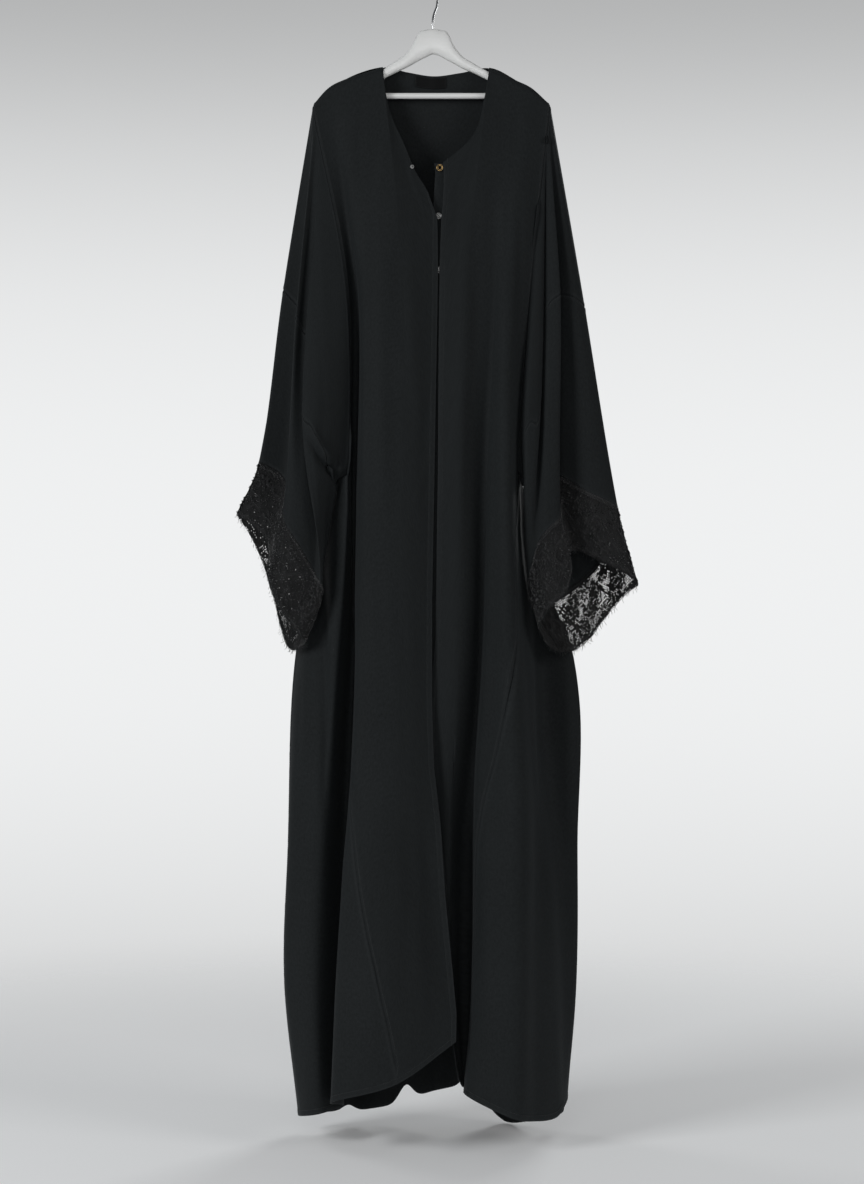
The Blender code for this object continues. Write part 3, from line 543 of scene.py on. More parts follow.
def floor_finish():
    """Pale paper floor that fades out into the room's pale light."""
    f = Finish("pale_paper")
    place = f.place()
    flat_place = {0: f.stretched(place, (1, 1, 0))}
    away = f.node("ShaderNodeVectorMath", {"operation": "LENGTH"}, flat_place, "Value")
    fibre = f.noise(place, 240, 3)
    f.set(Base_Color=f.painted(fibre, (.80, .805, .81), (.83, .835, .84)),
          Roughness=(fibre * .1 + .85).clamped(), Specular_IOR_Level=.1,
          Emission_Color=(1, 1, 1, 1), Emission_Strength=.10)
    clear = f.tree.nodes.new("ShaderNodeBsdfTransparent")
    both = f.tree.nodes.new("ShaderNodeMixShader")
    f.feed(both, {0: away.band(FLOOR_WHOLE, FLOOR_GONE)})
    shown = f.tree.nodes["Material Output"].inputs["Surface"]
    for start, end in ((f.shader, both.inputs[1]), (clear, both.inputs[2]), (both, shown)):
        f.tree.links.new(start.outputs[0], end)
    return f.material


# Painted shade of the room behind the cloak: how far up or down one looks (the sine), and the grey there.
BACKDROP_PAINTED_SHADE = ((-.27, .46), (-.225, .50), (-.18, .62), (-.12, .79),
               (-.05, .88), (.05, .885), (.12, .82), (.18, .66), (.235, .45), (.30, .38))


def room():
    """Soft light from all round, and a pale wall for the camera alone, painted darker above and below as
    shade.
    """
    world = bpy.data.worlds.new("room")
    world.use_nodes = True
    tree = world.node_tree
    add = tree.nodes.new
    soft, wall = tree.nodes["Background"], add("ShaderNodeBackground")
    path, seen = add("ShaderNodeLightPath"), add("ShaderNodeMixShader")
    way, parts = add("ShaderNodeTexCoord"), add("ShaderNodeSeparateXYZ")
    spread_out, ramp = add("ShaderNodeMapRange"), add("ShaderNodeValToRGB")
    low, high = BACKDROP_PAINTED_SHADE[0][0], BACKDROP_PAINTED_SHADE[-1][0]
    for socket, value in ((soft.inputs["Color"], (.93, .96, 1, 1)), (soft.inputs["Strength"], .125),
                          (spread_out.inputs["From Min"], low), (spread_out.inputs["From Max"], high)):
        socket.default_value = value
    ramp.color_ramp.interpolation = "B_SPLINE"
    stops = ramp.color_ramp.elements
    while len(stops) < len(BACKDROP_PAINTED_SHADE):
        stops.new(.5)
    # Each stop's grey is painted shade: the wall falls darker above and below its middle.
    for stop, (at, grey) in zip(stops, BACKDROP_PAINTED_SHADE):
        stop.position = (at - low) / (high - low)
        stop.color = (grey * .985, grey * .995, grey, 1)
    shown = tree.nodes["World Output"].inputs["Surface"]
    for start, end in (
            (way.outputs["Generated"], parts.inputs[0]), (parts.outputs["Z"], spread_out.inputs["Value"]),
            (spread_out.outputs[0], ramp.inputs[0]), (ramp.outputs[0], wall.inputs["Color"]),
            (path.outputs["Is Camera Ray"], seen.inputs[0]), (soft.outputs[0], seen.inputs[1]),
            (wall.outputs[0], seen.inputs[2]), (seen.outputs[0], shown)):
        tree.links.new(start, end)
    bpy.context.scene.world = world


def unit(v):
    """Vectors brought to length 1."""
    return v / np.maximum(np.linalg.norm(v, axis=-1, keepdims=True), 1e-9)


def face_normals(p):
    """Normals of a grid of points, from its own rows and columns."""
    return unit(np.cross(np.gradient(p, axis=0), np.gradient(p, axis=1)))


def run_along(p, axis):
    """How far each grid point lies along its own row (axis 1) or column (axis 0), in millimetres."""
    step = np.linalg.norm(np.diff(p, axis=axis), axis=-1)
    zero = np.zeros_like(np.take(step, [0], axis=axis))
    return np.cumsum(np.concatenate([zero, step], axis=axis), axis=axis)


def seen_from_front(p):
    """x and drop at which the camera sees each point."""
    near = 1 + p[..., 1] / EYE_BACK
    return p[..., 0] / near, EYE_DROP + (-p[..., 2] - EYE_DROP) / near


def hill(d, width):
    """1 where d is 0, falling off smoothly to both sides."""
    return np.exp(-(d / width) ** 2)


TURN = 6.28           # once round, for the places where a ripple begins
STREAKS = (27, 38, 51, 66, 88)    # how far apart the faint upright ripples of the cloth lie
STREAK_HEIGHT = .7


def waviness(at, seed, steps=(9.0, 14.0, 23.0)):
    """An uneven ripple along a seam, from -1 to 1."""
    dice = np.random.default_rng(seed)
    total = sum(np.sin(2 * math.pi * at / (step * dice.uniform(.85, 1.2)) + dice.uniform(0, TURN))
                for step in steps)
    slow = .6 + .4 * np.sin(2 * math.pi * at / dice.uniform(90, 150) + dice.uniform(0, TURN))
    return total / len(steps) * slow


def creased(x, drop, creases):
    """Sum of listed creases, each with its height, width and points. A minus height is a trough."""
    total = np.zeros(x.shape)
    for height, width, *points in creases:
        line = np.reshape(points, (-1, 2)).astype(float)
        best, share = np.full(x.shape, 1e9), np.zeros(x.shape)
        lengths = np.linalg.norm(np.diff(line, axis=0), axis=1)
        ends = np.concatenate([[0], np.cumsum(lengths)])
        for k, (p, way) in enumerate(zip(line[:-1], np.diff(line, axis=0))):
            t = np.clip(((x - p[0]) * way[0] + (drop - p[1]) * way[1]) / (way @ way), 0, 1)
            far = np.hypot(x - p[0] - t * way[0], drop - p[1] - t * way[1])
            nearer = far < best
            best = np.where(nearer, far, best)
            share = np.where(nearer, (ends[k] + t * lengths[k]) / ends[-1], share)
        fade = np.clip(np.sin(math.pi * np.clip(share, .02, .98)), 0, 1) ** .6
        total += height * fade * hill(best, width)
    return total


def streaks(x, drop, seed):
    """Long faint upright ripples, as thin cloth shows between its folds."""
    dice = np.random.default_rng(seed)
    total = np.zeros(x.shape)
    for wide in STREAKS:
        lean, sway = dice.uniform(-.05, .05), dice.uniform(300, 620)
        strength = .5 + .5 * np.sin(2 * math.pi * drop / sway + dice.uniform(0, TURN) + x / 70)
        step = wide * dice.uniform(.9, 1.1)
        total += strength * np.sin(2 * math.pi * (x + lean * drop) / step + dice.uniform(0, TURN))
    return total * STREAK_HEIGHT / 3


def new_object(name, mesh):
    """An object in the scene that holds a mesh, lamp or camera."""
    obj = bpy.data.objects.new(name, mesh)
    bpy.context.scene.collection.objects.link(obj)
    return obj


def mesh_from(name, points, faces, marks=(), cloth=None, material=None):
    """A mesh piece from millimetre points. marks are point attributes; cloth is its weave's coordinates."""
    mesh = bpy.data.meshes.new(name)
    mesh.from_pydata((np.asarray(points, float) / 1000).tolist(), [], faces)
    for label, values in marks:
        layer = mesh.attributes.new(label, "FLOAT", "POINT")
        layer.data.foreach_set("value", np.asarray(values, np.float32).ravel())
    if cloth is not None:
        layer = mesh.uv_layers.new(name="weave")
        corner = np.empty(len(mesh.loops), np.int32)
        mesh.loops.foreach_get("vertex_index", corner)
        layer.data.foreach_set("uv", (np.asarray(cloth, np.float32)[corner]).ravel())
    mesh.polygons.foreach_set("use_smooth", np.ones(len(mesh.polygons), bool))
    mesh.materials.append(material)
    return new_object(name, mesh)


def spread(surface, rows, stops, first_columns=None):
    """Lines of a grid whose columns stand about PITCH apart along each row. stops are the lines
    where a column always runs, each one number or one for each row. Extra columns stand close to
    the first and the last stop: SEAM_COLUMNS, unless first_columns says otherwise."""
    rows = np.asarray(rows, float)
    blocks, last_block = [], len(stops) - 2
    share = np.linspace(0, 1, 41)
    for k, ends in enumerate(zip(stops[:-1], stops[1:])):
        first, last = (np.broadcast_to(np.asarray(stop, float), rows.shape)[:, None] for stop in ends)
        line = first * (1 - share) + last * share
        run = run_along(surface(line, np.repeat(rows[:, None], len(share), axis=1)), 1)
        whole = run[:, -1]
        begin = np.array((first_columns or SEAM_COLUMNS) if k == 0 else (0,), float)
        end = np.array(SEAM_COLUMNS if k == last_block else (0,), float)
        squeeze = np.minimum(1, whole / 3 / max(begin[-1] + end[-1], 1e-6))
        count = max(2, int(round(np.percentile(whole, 90) / PITCH)))
        inner = np.linspace(0, 1, count + 1)[1:-1]
        lines = np.empty((len(rows), len(begin) + len(inner) + len(end)))
        for i in range(len(rows)):
            a, b = begin[-1] * squeeze[i], whole[i] - end[-1] * squeeze[i]
            near, far = begin * squeeze[i], whole[i] - end[::-1] * squeeze[i]
            lines[i] = np.interp(np.concatenate([near, a + (b - a) * inner, far]), run[i], line[i])
        blocks.append(lines if k == 0 else lines[:, 1:])
    return np.concatenate(blocks, axis=1)


def walls(front, behind):
    """Faces of a thin closed wall: front, its back in points that lie behind further on, and the rim."""
    sides = {(f[k], f[(k + 1) % len(f)]): True for f in front for k in range(len(f))}
    rim = [(b, a, a + behind, b + behind) for a, b in sides if (b, a) not in sides]
    return [tuple(f) for f in front] + [tuple(i + behind for i in f[::-1]) for f in front] + rim


def shell(name, mid, n, wall, marks=(), cloth=None, material=None):
    """A thin closed wall of cloth on the grid of points mid."""
    rows, cols = mid.shape[:2]
    wall = np.broadcast_to(np.asarray(wall, float), (rows, cols))[..., None]
    points = np.concatenate([(mid + n * wall / 2).reshape(-1, 3), (mid - n * wall / 2).reshape(-1, 3)])
    index = np.arange(rows * cols).reshape(rows, cols)
    corners = (index[:-1, :-1], index[1:, :-1], index[1:, 1:], index[:-1, 1:])
    outer = np.stack(corners, axis=-1).reshape(-1, 4)
    p, q, r = (points[outer[:, k]] for k in (0, 1, 3))
    if np.sum(np.cross(q - p, r - p) * (p - points[outer[:, 0] + rows * cols])) < 0:
        outer = outer[:, ::-1]
    doubled = [(label, np.concatenate([np.ravel(v), np.ravel(v)])) for label, v in marks]
    cloth = np.concatenate([cloth.reshape(-1, 2), cloth.reshape(-1, 2) + (.003, .005)])
    return mesh_from(name, points, walls(outer.tolist(), rows * cols), doubled, cloth, material)


INSIDE = (0, 0, -900)   # a point inside the cloak, which every piece faces away from
grids = {}              # each cloth piece's outer face, for the stitches
HEM_DEEP = 8.4          # how far in a hem's turned-up cloth reaches
SEAM_COLUMNS = (0, .5, 1.1, 2.0, 3.2, 4.8, 6.8)
HEM_COLUMNS = (0, .8, 2.5, 5.0, 7.0, 8.2, 9.5, 11.5)


def edge_relief(d, kind, along_edge, seed):
    """How the cloth lies near one of its edges, d millimetres in: a sewn seam rolls in, with its
    allowance raised beneath and a slight pucker; a hem is double, with a stitched groove."""
    if kind == "seam":
        pucker = .28 * waviness(along_edge, seed) * np.clip(d / 1.5, 0, 1) * hill(d, 9)
        return -.55 * hill(d, 1.1) + .38 * hill(d - 4.0, 2.6) + pucker
    if kind == "hem":
        pucker = .34 * waviness(along_edge, seed, (13, 21, 34)) * hill(d - 5, 7)
        return -.28 * hill(d - 8.2, .9) + pucker
    return .25 * waviness(along_edge, seed, (17, 29, 47)) * hill(d, 10)


def edge_wall(d, kind):
    """How much thicker the cloth is near a hem, where it is double."""
    return np.where(d < HEM_DEEP, .85, 0) * np.clip((HEM_DEEP - d) / .8, 0, 1) if kind == "hem" else 0 * d


def rubbed(d, kind):
    """How worn the cloth is, d millimetres in from an edge."""
    if kind == "seam":
        return .5 * hill(d - 3.4, 2.0)
    if kind == "hem":
        return .75 * hill(d, 2.2) + .25 * hill(d - 7, 2)
    return .4 * hill(d, 2)


def with_lip(mid, n, others):
    """Two more rows before the first one, which slip beneath the neighbour as a seam allowance does."""
    away = unit(mid[0] - mid[1])
    more = np.stack([mid[0] + away * past - n[0] * below for past, below in LIP[::-1]])
    longer = [np.concatenate([np.repeat(v[:1], len(LIP), axis=0), v]) for v in (n, *others)]
    return [np.concatenate([more, mid])] + longer


def cloth_piece(name, surface, line, station, edges, inside=INSIDE, creases=(), streak=None, seed=1,
                extra=None, lip=False):
    """A panel of the cloak. edges say how its left, right, top and bottom are finished."""
    mid = surface(line, station)
    n = face_normals(mid)
    if np.sum(n * (mid - np.asarray(inside, float))) < 0:
        n = -n
    across, down = run_along(mid, 1), run_along(mid, 0)
    far = (across, across[:, -1:] - across, down, down[-1:] - down)
    run = (down, down, across, across)
    x, drop = seen_from_front(mid)
    lift = creased(x, drop, creases)
    if streak is not None:
        fade = np.clip((drop - 230) / 260, .15, 1) * np.clip(np.minimum(far[0], far[1]) / 14, 0, 1)
        lift = lift + streaks(x, drop, streak) * fade
    thick, worn = np.full(line.shape, WALL), np.zeros(line.shape)
    for k, kind in enumerate(edges):
        if kind is None:
            continue
        lift = lift + edge_relief(far[k], kind, run[k], seed * 7 + k)
        thick = thick + edge_wall(far[k], kind)
        worn = np.maximum(worn, rubbed(far[k], kind))
    if extra is not None:
        lift = lift + extra(x, drop, line)
    mid = mid + n * lift[..., None]
    n = np.where(np.sum(face_normals(mid) * n, axis=-1, keepdims=True) < 0, -1, 1) * face_normals(mid)
    middle = across[:, across.shape[1] // 2][:, None]
    cloth = np.stack([(across - middle) / 1000, -down / 1000 - station[0, 0] / 1000], axis=-1)
    grids[name] = (mid + n * (thick[..., None] / 2 + .1), across, down)
    if lip:
        mid, n, thick, worn, cloth = with_lip(mid, n, (thick, worn, cloth))
    return shell(name, mid, n, thick, (("worn", worn),), cloth, CREPE)


def bring_in(surface, line, rows, gap, toward):
    """A boundary's lines drawn back by gap millimetres, square to the boundary."""
    tiny = .03
    here = surface(line, rows)
    ahead = (surface(line + tiny * toward, rows) - here) / tiny
    run = np.gradient(here, axis=0)
    square = np.linalg.norm(np.cross(ahead, run), axis=-1) / np.maximum(np.linalg.norm(run, axis=-1), 1e-6)
    return line + toward * np.minimum(gap / np.maximum(square, 1e-6), .45)


def seam_at(rows):
    """The fold line that a seam runs on, by station."""
    table = np.array(rows, float)
    return lambda station: np.interp(station, table[:, 0], table[:, 1])


def on_collar(panel, rows, line):
    """Stations of a grid. Rows above the chest begin on the collar edge, or on top of the shoulder."""
    station = across_all(rows, line)
    crown = panel.crown(line)
    start = (OVER_SHOULDER, 140, STATIONS[0], CHEST_ROW)
    flat = np.where(station < CHEST_ROW, np.interp(station, start, (150.5, 157, 164, CHEST_ROW)), station)
    return station * crown + flat * (1 - crown) + np.where(station < OVER_SHOULDER + 1, .15, 0) * crown


def across_all(rows, line):
    """Each row's station, for every column of line."""
    return np.repeat(rows[:, None], line.shape[1], axis=1)


TOP_ROWS = (130, 133, 136, 139, 142, 145, 148, 151, 154, 158, 162, 167, 172, 178, 184, CHEST_ROW)
LAST_ROWS = (1671, 1673.5, 1676, 1678.5, HEM)
GORE_TOP_ROWS = (736, 738, 741)
EVEN_ROWS = np.linspace(CHEST_ROW, HEM_ROW, int((HEM - CHEST_ROW) / ROW_PITCH))
EVEN_GORE_ROWS = np.linspace(745, HEM_ROW, int((HEM_ROW - 737) / ROW_PITCH))
BODY_ROWS = np.concatenate([TOP_ROWS, EVEN_ROWS[1:], LAST_ROWS])
GORE_ROWS = np.concatenate([GORE_TOP_ROWS, EVEN_GORE_ROWS, LAST_ROWS])


front_right = Panel(FRONT_RIGHT, (-9, 1), EDGE_RIGHT)
front_left = Panel(FRONT_LEFT, (-9, 1), EDGE_LEFT)
back = Panel(BACK, (3, 7))
CREPE, LACE, BEAD, THREAD = crepe_finish(), lace_finish(), bead_finish(), thread_finish()
PAINT, WIRE, SATIN = paint_finish(), wire_finish(), satin_finish()
BRASS = metal_finish("snap_brass", (.16, .105, .045), (.34, .23, .10), .34)
NICKEL = metal_finish("snap_nickel", (.10, .10, .10), (.26, .26, .255), .34)


def hand_in(obj, *nodes):
    """The piece rides with the cloak and stands for these CAD nodes."""
    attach(obj, BODY)
    if nodes:
        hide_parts(*nodes)
    return obj


def declared(obj, node):
    """Attaches the piece to the cloak and hides the CAD node that it stands for."""
    hand_in(obj, node)


# Creases, seen from the front: height, width, then x and drop of each point.
CREASES_FRONT_RIGHT = (
    (.8, 9, -52, 300, -66, 420, -60, 540), (-.9, 12, -88, 230, -96, 330, -92, 470),
    (.6, 7, -30, 330, -38, 420, -34, 560, -24, 660), (-.7, 6, -2, 610, -14, 668, -8, 760),
    (.7, 8, -18, 600, -30, 700, -22, 820), (.6, 5, -6, 700, -16, 742, -30, 790),
    (-.8, 10, -104, 560, -96, 690, -84, 800), (.9, 12, -96, 860, -84, 1010, -88, 1180),
    (-.8, 13, -48, 900, -40, 1060, -52, 1240), (.9, 14, -70, 1200, -58, 1380, -66, 1560),
    (-.7, 8, -12, 1040, 0, 1160, 14, 1270), (-.9, 4, 5, 1091, 24, 1110, 46, 1133),
    (.8, 11, -124, 1260, -112, 1400, -118, 1560), (.7, 10, -20, 1330, 2, 1440, 10, 1560),
    (.9, 8, -60, 190, -76, 250, -84, 330), (-1.0, 8, -100, 170, -112, 220, -112, 290),
    (1.1, 5, -40, 262, -32, 296, -16, 330), (-.8, 4, -46, 250, -38, 290, -24, 325),
)
CREASES_FRONT_LEFT = (
    (-1.2, 5, 57, 243, 46, 276, 28, 324), (.8, 7, 66, 236, 56, 284, 42, 352),
    (-.7, 9, 30, 300, 38, 420, 32, 560), (.7, 10, 64, 380, 58, 520, 62, 660),
    (.7, 8, 18, 560, 26, 700, 20, 860), (-.6, 5, 10, 640, 17, 690, 12, 752),
    (-.8, 11, 46, 800, 38, 960, 44, 1120), (1.0, 4, 5, 1091, 26, 1112, 46, 1133),
    (.8, 10, 22, 1000, 14, 1160, 26, 1330), (.9, 9, 90, 180, 96, 240, 94, 330),
    (-.8, 9, 110, 420, 104, 560, 100, 700), (.8, 10, 86, 860, 78, 1020, 70, 1190),
    (-.8, 11, 108, 980, 112, 1160, 106, 1340), (.9, 13, 60, 1260, 50, 1420, 58, 1600),
    (.8, 12, 128, 1230, 134, 1400, 126, 1580), (-.8, 9, 30, 1420, 40, 1520, 46, 1610),
    (-1.0, 8, 120, 160, 126, 210, 122, 280), (.5, 2, 40, 377, 45, 388, 49, 396),
)
# Broad soft folds that run on through a front and its gore.
FOLDS_RIGHT = (
    (8.0, 30, -88, 1180, -92, 1340, -88, 1480, -84, 1640), (-5.0, 22, -12, 1230, 2, 1400, 12, 1580),
    (-4.5, 8, -114, 320, -116, 480, -116, 660, -114, 900), (3.5, 14, -78, 360, -80, 560, -76, 820),
    (-6.0, 8, -165, 880, -166, 1020, -163, 1140, -166, 1260), (3.5, 9, -186, 900, -190, 1060, -192, 1220),
    (-4.0, 11, -128, 960, -132, 1120, -136, 1300),
)
FOLDS_LEFT = (
    (-6.0, 15, 62, 320, 64, 480, 60, 660, 54, 860), (4.5, 10, 102, 310, 103, 480, 102, 660, 104, 850),
    (-11.0, 22, 30, 1090, 38, 1240, 44, 1420, 46, 1650), (-3.0, 9, 2, 1120, 6, 1260, 14, 1440),
    (10.0, 26, 118, 800, 124, 960, 124, 1220, 122, 1430, 124, 1640),
    (-11.0, 18, 164, 860, 168, 1060, 168, 1240, 162, 1420),
    (-2.2, 6, 128, 300, 129, 400, 128, 500, 127, 600), (4.0, 10, 198, 940, 201, 1120, 202, 1320),
    (5.0, 20, 84, 1240, 82, 1400, 84, 1600),
)
CREASES_GORE_RIGHT = (
    (.9, 9, -150, 700, -158, 820, -150, 960), (-.8, 10, -128, 760, -132, 900, -138, 1040),
    (.8, 9, -196, 860, -206, 1000, -208, 1160), (-.9, 12, -176, 1000, -186, 1180, -190, 1360),
    (.8, 12, -160, 1180, -164, 1360, -158, 1560), (-.8, 10, -206, 1300, -212, 1460, -200, 1640),
    (.8, 12, -90, 1300, -84, 1440, -92, 1600), (.9, 9, -186, 1500, -176, 1600, -180, 1690),
    (1.0, 6, -148, 640, -130, 700, -124, 760), (-1.1, 6, -164, 700, -146, 742, -132, 800),
)
CREASES_GORE_LEFT = (
    (.9, 8, 132, 740, 140, 860, 152, 980), (-.8, 9, 126, 800, 128, 930, 136, 1060),
    (.8, 9, 176, 880, 184, 1020, 188, 1180), (-.8, 9, 198, 1000, 200, 1180, 204, 1340),
    (.8, 12, 150, 1120, 158, 1300, 152, 1500), (-.9, 11, 178, 1320, 184, 1480, 176, 1640),
    (.8, 8, 196, 1440, 190, 1560, 186, 1660), (.8, 9, 140, 1500, 134, 1600, 138, 1690),
)
CREASES_BACK = (
    (.8, 11, -66, 220, -74, 360, -70, 520), (-.8, 11, -24, 240, -20, 400, -26, 560),
    (.8, 12, 30, 260, 26, 430, 34, 600), (-.8, 10, 80, 230, 86, 370, 82, 520),
    (.9, 11, -104, 520, -112, 680, -120, 840), (-.8, 13, -52, 640, -60, 820, -66, 1000),
    (.8, 12, 8, 700, 2, 880, 10, 1060), (-.8, 12, 62, 620, 70, 800, 82, 980),
    (.9, 10, 112, 560, 122, 700, 134, 850), (-.8, 13, -134, 1000, -140, 1180, -136, 1360),
    (.8, 13, -84, 1080, -90, 1260, -84, 1440), (-.8, 14, -30, 1120, -36, 1310, -30, 1520),
    (.8, 13, 26, 1100, 34, 1290, 28, 1480), (-.8, 13, 84, 1060, 92, 1240, 88, 1420),
    (.9, 12, 132, 1000, 140, 1190, 138, 1390), (.8, 11, -110, 1420, -104, 1540, -110, 1660),
    (.8, 11, 60, 1440, 66, 1560, 62, 1660), (.7, 10, -8, 1500, 0, 1590, -4, 1660),
    (.8, 11, -176, 900, -186, 1080, -190, 1280), (.8, 11, 176, 900, 186, 1090, 188, 1300),
    (-.8, 11, -170, 1300, -176, 1460, -170, 1620), (-.8, 11, 168, 1320, 176, 1470, 170, 1620),
)
CREASES_SLEEVE_RIGHT = (
    (.8, 7, -196, 240, -208, 330, -212, 430), (-.8, 7, -176, 260, -186, 380, -190, 470),
    (.8, 8, -214, 500, -230, 620, -240, 730), (-.7, 7, -232, 560, -246, 660, -256, 740),
    (.7, 6, -184, 520, -192, 640, -196, 760), (-.8, 6, -168, 560, -164, 640, -176, 740),
    (.9, 7, -196, 700, -184, 780, -178, 860), (6.5, 7, -184, 664, -172, 694, -152, 716, -136, 724),
    (-8.0, 5, -186, 684, -170, 712, -150, 734, -142, 752), (.8, 5, -150, 655, -164, 690, -174, 740),
    (.7, 6, -172, 330, -168, 440, -160, 560),
)
CREASES_SLEEVE_LEFT = (
    (.8, 7, 196, 250, 206, 340, 214, 440), (-.8, 7, 176, 280, 186, 370, 190, 450),
    (.8, 9, 216, 480, 238, 620, 252, 740), (-.8, 9, 196, 500, 210, 620, 222, 740),
    (.7, 8, 236, 560, 256, 680, 268, 780), (.8, 7, 170, 500, 172, 620, 168, 720),
    (-.8, 7, 158, 560, 154, 660, 150, 780), (1.0, 5, 126, 740, 138, 760, 146, 790),
    (.8, 6, 146, 800, 150, 840, 160, 880), (.7, 7, 190, 660, 196, 740, 206, 800),
)


# Where the back's hem rises between its hanging folds: x, how far, how wide.
HEM_DIPS = ((-43, 25, 14), (57, 28, 15), (-132, 9, 12), (172, 14, 12))


def hanging_back(line, station):
    """The back and its gores, with the hem in lobes."""
    p = back(line, station)
    rise = sum(high * hill(p[..., 0] - x, wide) for x, high, wide in HEM_DIPS)
    p[..., 2] += rise * np.clip((station - 1440) / 240, 0, 1) ** 2
    return p


def gore(name, surface, panel, ends, creases, streak, seed, rests_on, lip=False):
    """A side gore between two fold lines of its panel."""
    gaps = (SEAM_GAP, SIDE_GAP) if lip else (SIDE_GAP, SIDE_GAP)
    inner, side = (bring_in(panel, end, GORE_ROWS, gap, toward)
                   for end, gap, toward in zip(ends, gaps, (1, -1)))
    line = spread(panel, GORE_ROWS, (inner, side))
    obj = cloth_piece(name + "_cloth", surface, line, across_all(GORE_ROWS, line),
                      ("seam", "seam", "seam", "hem"), INSIDE, creases, streak, seed, lip=lip)
    declared(obj, name)


def body():
    """Fronts, back and the four side gores."""
    for name, panel, seam, arm, creases, side_creases, folds, seed in (
            ("front_right", front_right, SEAM_FRONT_RIGHT, 4,
             CREASES_FRONT_RIGHT, CREASES_GORE_RIGHT, FOLDS_RIGHT, 3),
            ("front_left", front_left, SEAM_FRONT_LEFT, 5,
             CREASES_FRONT_LEFT, CREASES_GORE_LEFT, FOLDS_LEFT, 5)):
        outer = np.where(BODY_ROWS <= UNDERARM, arm, seam_at(seam)(BODY_ROWS))
        outer = bring_in(panel, outer.astype(float), BODY_ROWS, SEAM_GAP, -1)
        line = spread(panel, BODY_ROWS, (0, .95, 1, outer), HEM_COLUMNS)
        obj = cloth_piece(name + "_cloth", panel, line, on_collar(panel, BODY_ROWS, line),
                          ("hem", "seam", None, "hem"), INSIDE, creases + folds, seed, seed)
        declared(obj, name)
        ends = (seam_at(seam)(GORE_ROWS), np.full(GORE_ROWS.shape, float(panel.last)))
        gore("gore_" + name, panel, panel, ends, side_creases + folds, seed + 20, seed + 1,
             name + "_cloth", lip=True)
    last = back.last
    mirror = tuple((station, last - line) for station, line in SEAM_BACK_RIGHT)
    first = np.where(BODY_ROWS <= UNDERARM, 1, seam_at(SEAM_BACK_RIGHT)(BODY_ROWS)).astype(float)
    final = np.where(BODY_ROWS <= UNDERARM, last - 1, seam_at(mirror)(BODY_ROWS)).astype(float)
    first = bring_in(back, first, BODY_ROWS, SEAM_GAP, 1)
    final = bring_in(back, final, BODY_ROWS, SEAM_GAP, -1)
    line = spread(back, BODY_ROWS, (first, 3, 3.05, 6.95, 7, final))
    obj = cloth_piece("back_cloth", hanging_back, line, on_collar(back, BODY_ROWS, line),
                      ("seam", "seam", None, "hem"), INSIDE, CREASES_BACK, 9, 9)
    declared(obj, "back")
    sides = np.zeros(GORE_ROWS.shape), np.full(GORE_ROWS.shape, float(last))
    for name, ends in (("gore_back_right", (sides[0], seam_at(SEAM_BACK_RIGHT)(GORE_ROWS))),
                       ("gore_back_left", (seam_at(mirror)(GORE_ROWS), sides[1]))):
        gore(name, hanging_back, back, ends, CREASES_BACK, 31, 11, "back_cloth")


def sleeve_lines(sleeve, low, high, count):
    """Sleeve lines that divide the three lower rings about evenly, and how wide they lie in all."""
    fine = np.linspace(low, high, 481)
    run = sum(np.linalg.norm(np.diff(sleeve(fine, w), axis=0), axis=1) for w in (1, 2, 3))
    done = np.concatenate([[0], np.cumsum(run)])
    return np.interp(np.linspace(0, done[-1], count), done, fine), done[-1] / 3


def sleeve_grid(sleeve, rows):
    """Lines and rows of one sleeve piece, drawn back a little from its seams."""
    lines, _ = sleeve_lines(sleeve, -UNDER_LINE, UNDER_LINE, 150)
    a, b = (v.copy() for v in np.broadcast_arrays(lines[None, :], rows[:, None]))
    a[:, 0] = bring_in(sleeve, a[:, 0], b[:, 0], SIDE_GAP, 1)
    a[:, -1] = bring_in(sleeve, a[:, -1], b[:, -1], SIDE_GAP, -1)
    turned = lambda height, line: sleeve(line, height)
    b[0] = bring_in(turned, b[0] + 1e-6, a[0], SEAM_GAP, 1)
    b[-1] = bring_in(turned, b[-1] - 1e-6, a[-1], SIDE_GAP, -1)
    return a, b


right_sleeve = Sleeve(SLEEVE_RIGHT, front_right, back, 4, 1, 6, 0)
left_sleeve = Sleeve(SLEEVE_LEFT, front_left, back, 5, back.last - 1, 9, back.last)
SLEEVES = (("right", right_sleeve, (-200, -10, -700), CREASES_SLEEVE_RIGHT),
           ("left", left_sleeve, (190, -10, -700), CREASES_SLEEVE_LEFT))


def sleeve_cloth():
    """The upper and the lower sleeve on each side."""
    near, far = (0, .004, .009, .016, .026, .04), (.96, .974, .984, .991, .996, 1)
    for side, sleeve, centre, creases in SLEEVES:
        def on_both(x, drop, line):
            """The creases in front, and others like them behind."""
            behind = creased(x + 9, drop - 14, creases) * np.clip(-line / 3, 0, 1)
            return creased(x, drop, creases) * np.clip(line / 3, 0, 1) - behind

        for part, top, even, seed in (("upper", 0, 46, 41), ("lower", 1, 44, 43)):
            rows = top + np.concatenate([near, np.linspace(.055, .945, even), far])
            name = f"sleeve_{part}_{side}"
            obj = cloth_piece(name + "_cloth", sleeve, *sleeve_grid(sleeve, rows), ("seam",) * 4, centre,
                              seed=seed + len(side), extra=on_both, lip=True)
            declared(obj, name)


CUFF_DEEP = 84.0      # about how far the lace runs down, in millimetres
CELL = 3.4            # the lace's net
SCROLL = 58.0         # how often its pattern comes again along the cuff
# How far the net of each half has pulled open.
AIRY = {("back", "right"): .3, ("front", "right"): .1, ("back", "left"): .62, ("front", "left"): .16}
STEM = 42.0           # how far down the cuff the stem runs
HEXAGON = ((0, -2 / 3), (.5, -1 / 3), (.5, 1 / 3), (0, 2 / 3), (-.5, 1 / 3), (-.5, -1 / 3))
WORKED = .62          # cells worked over more than this are filled


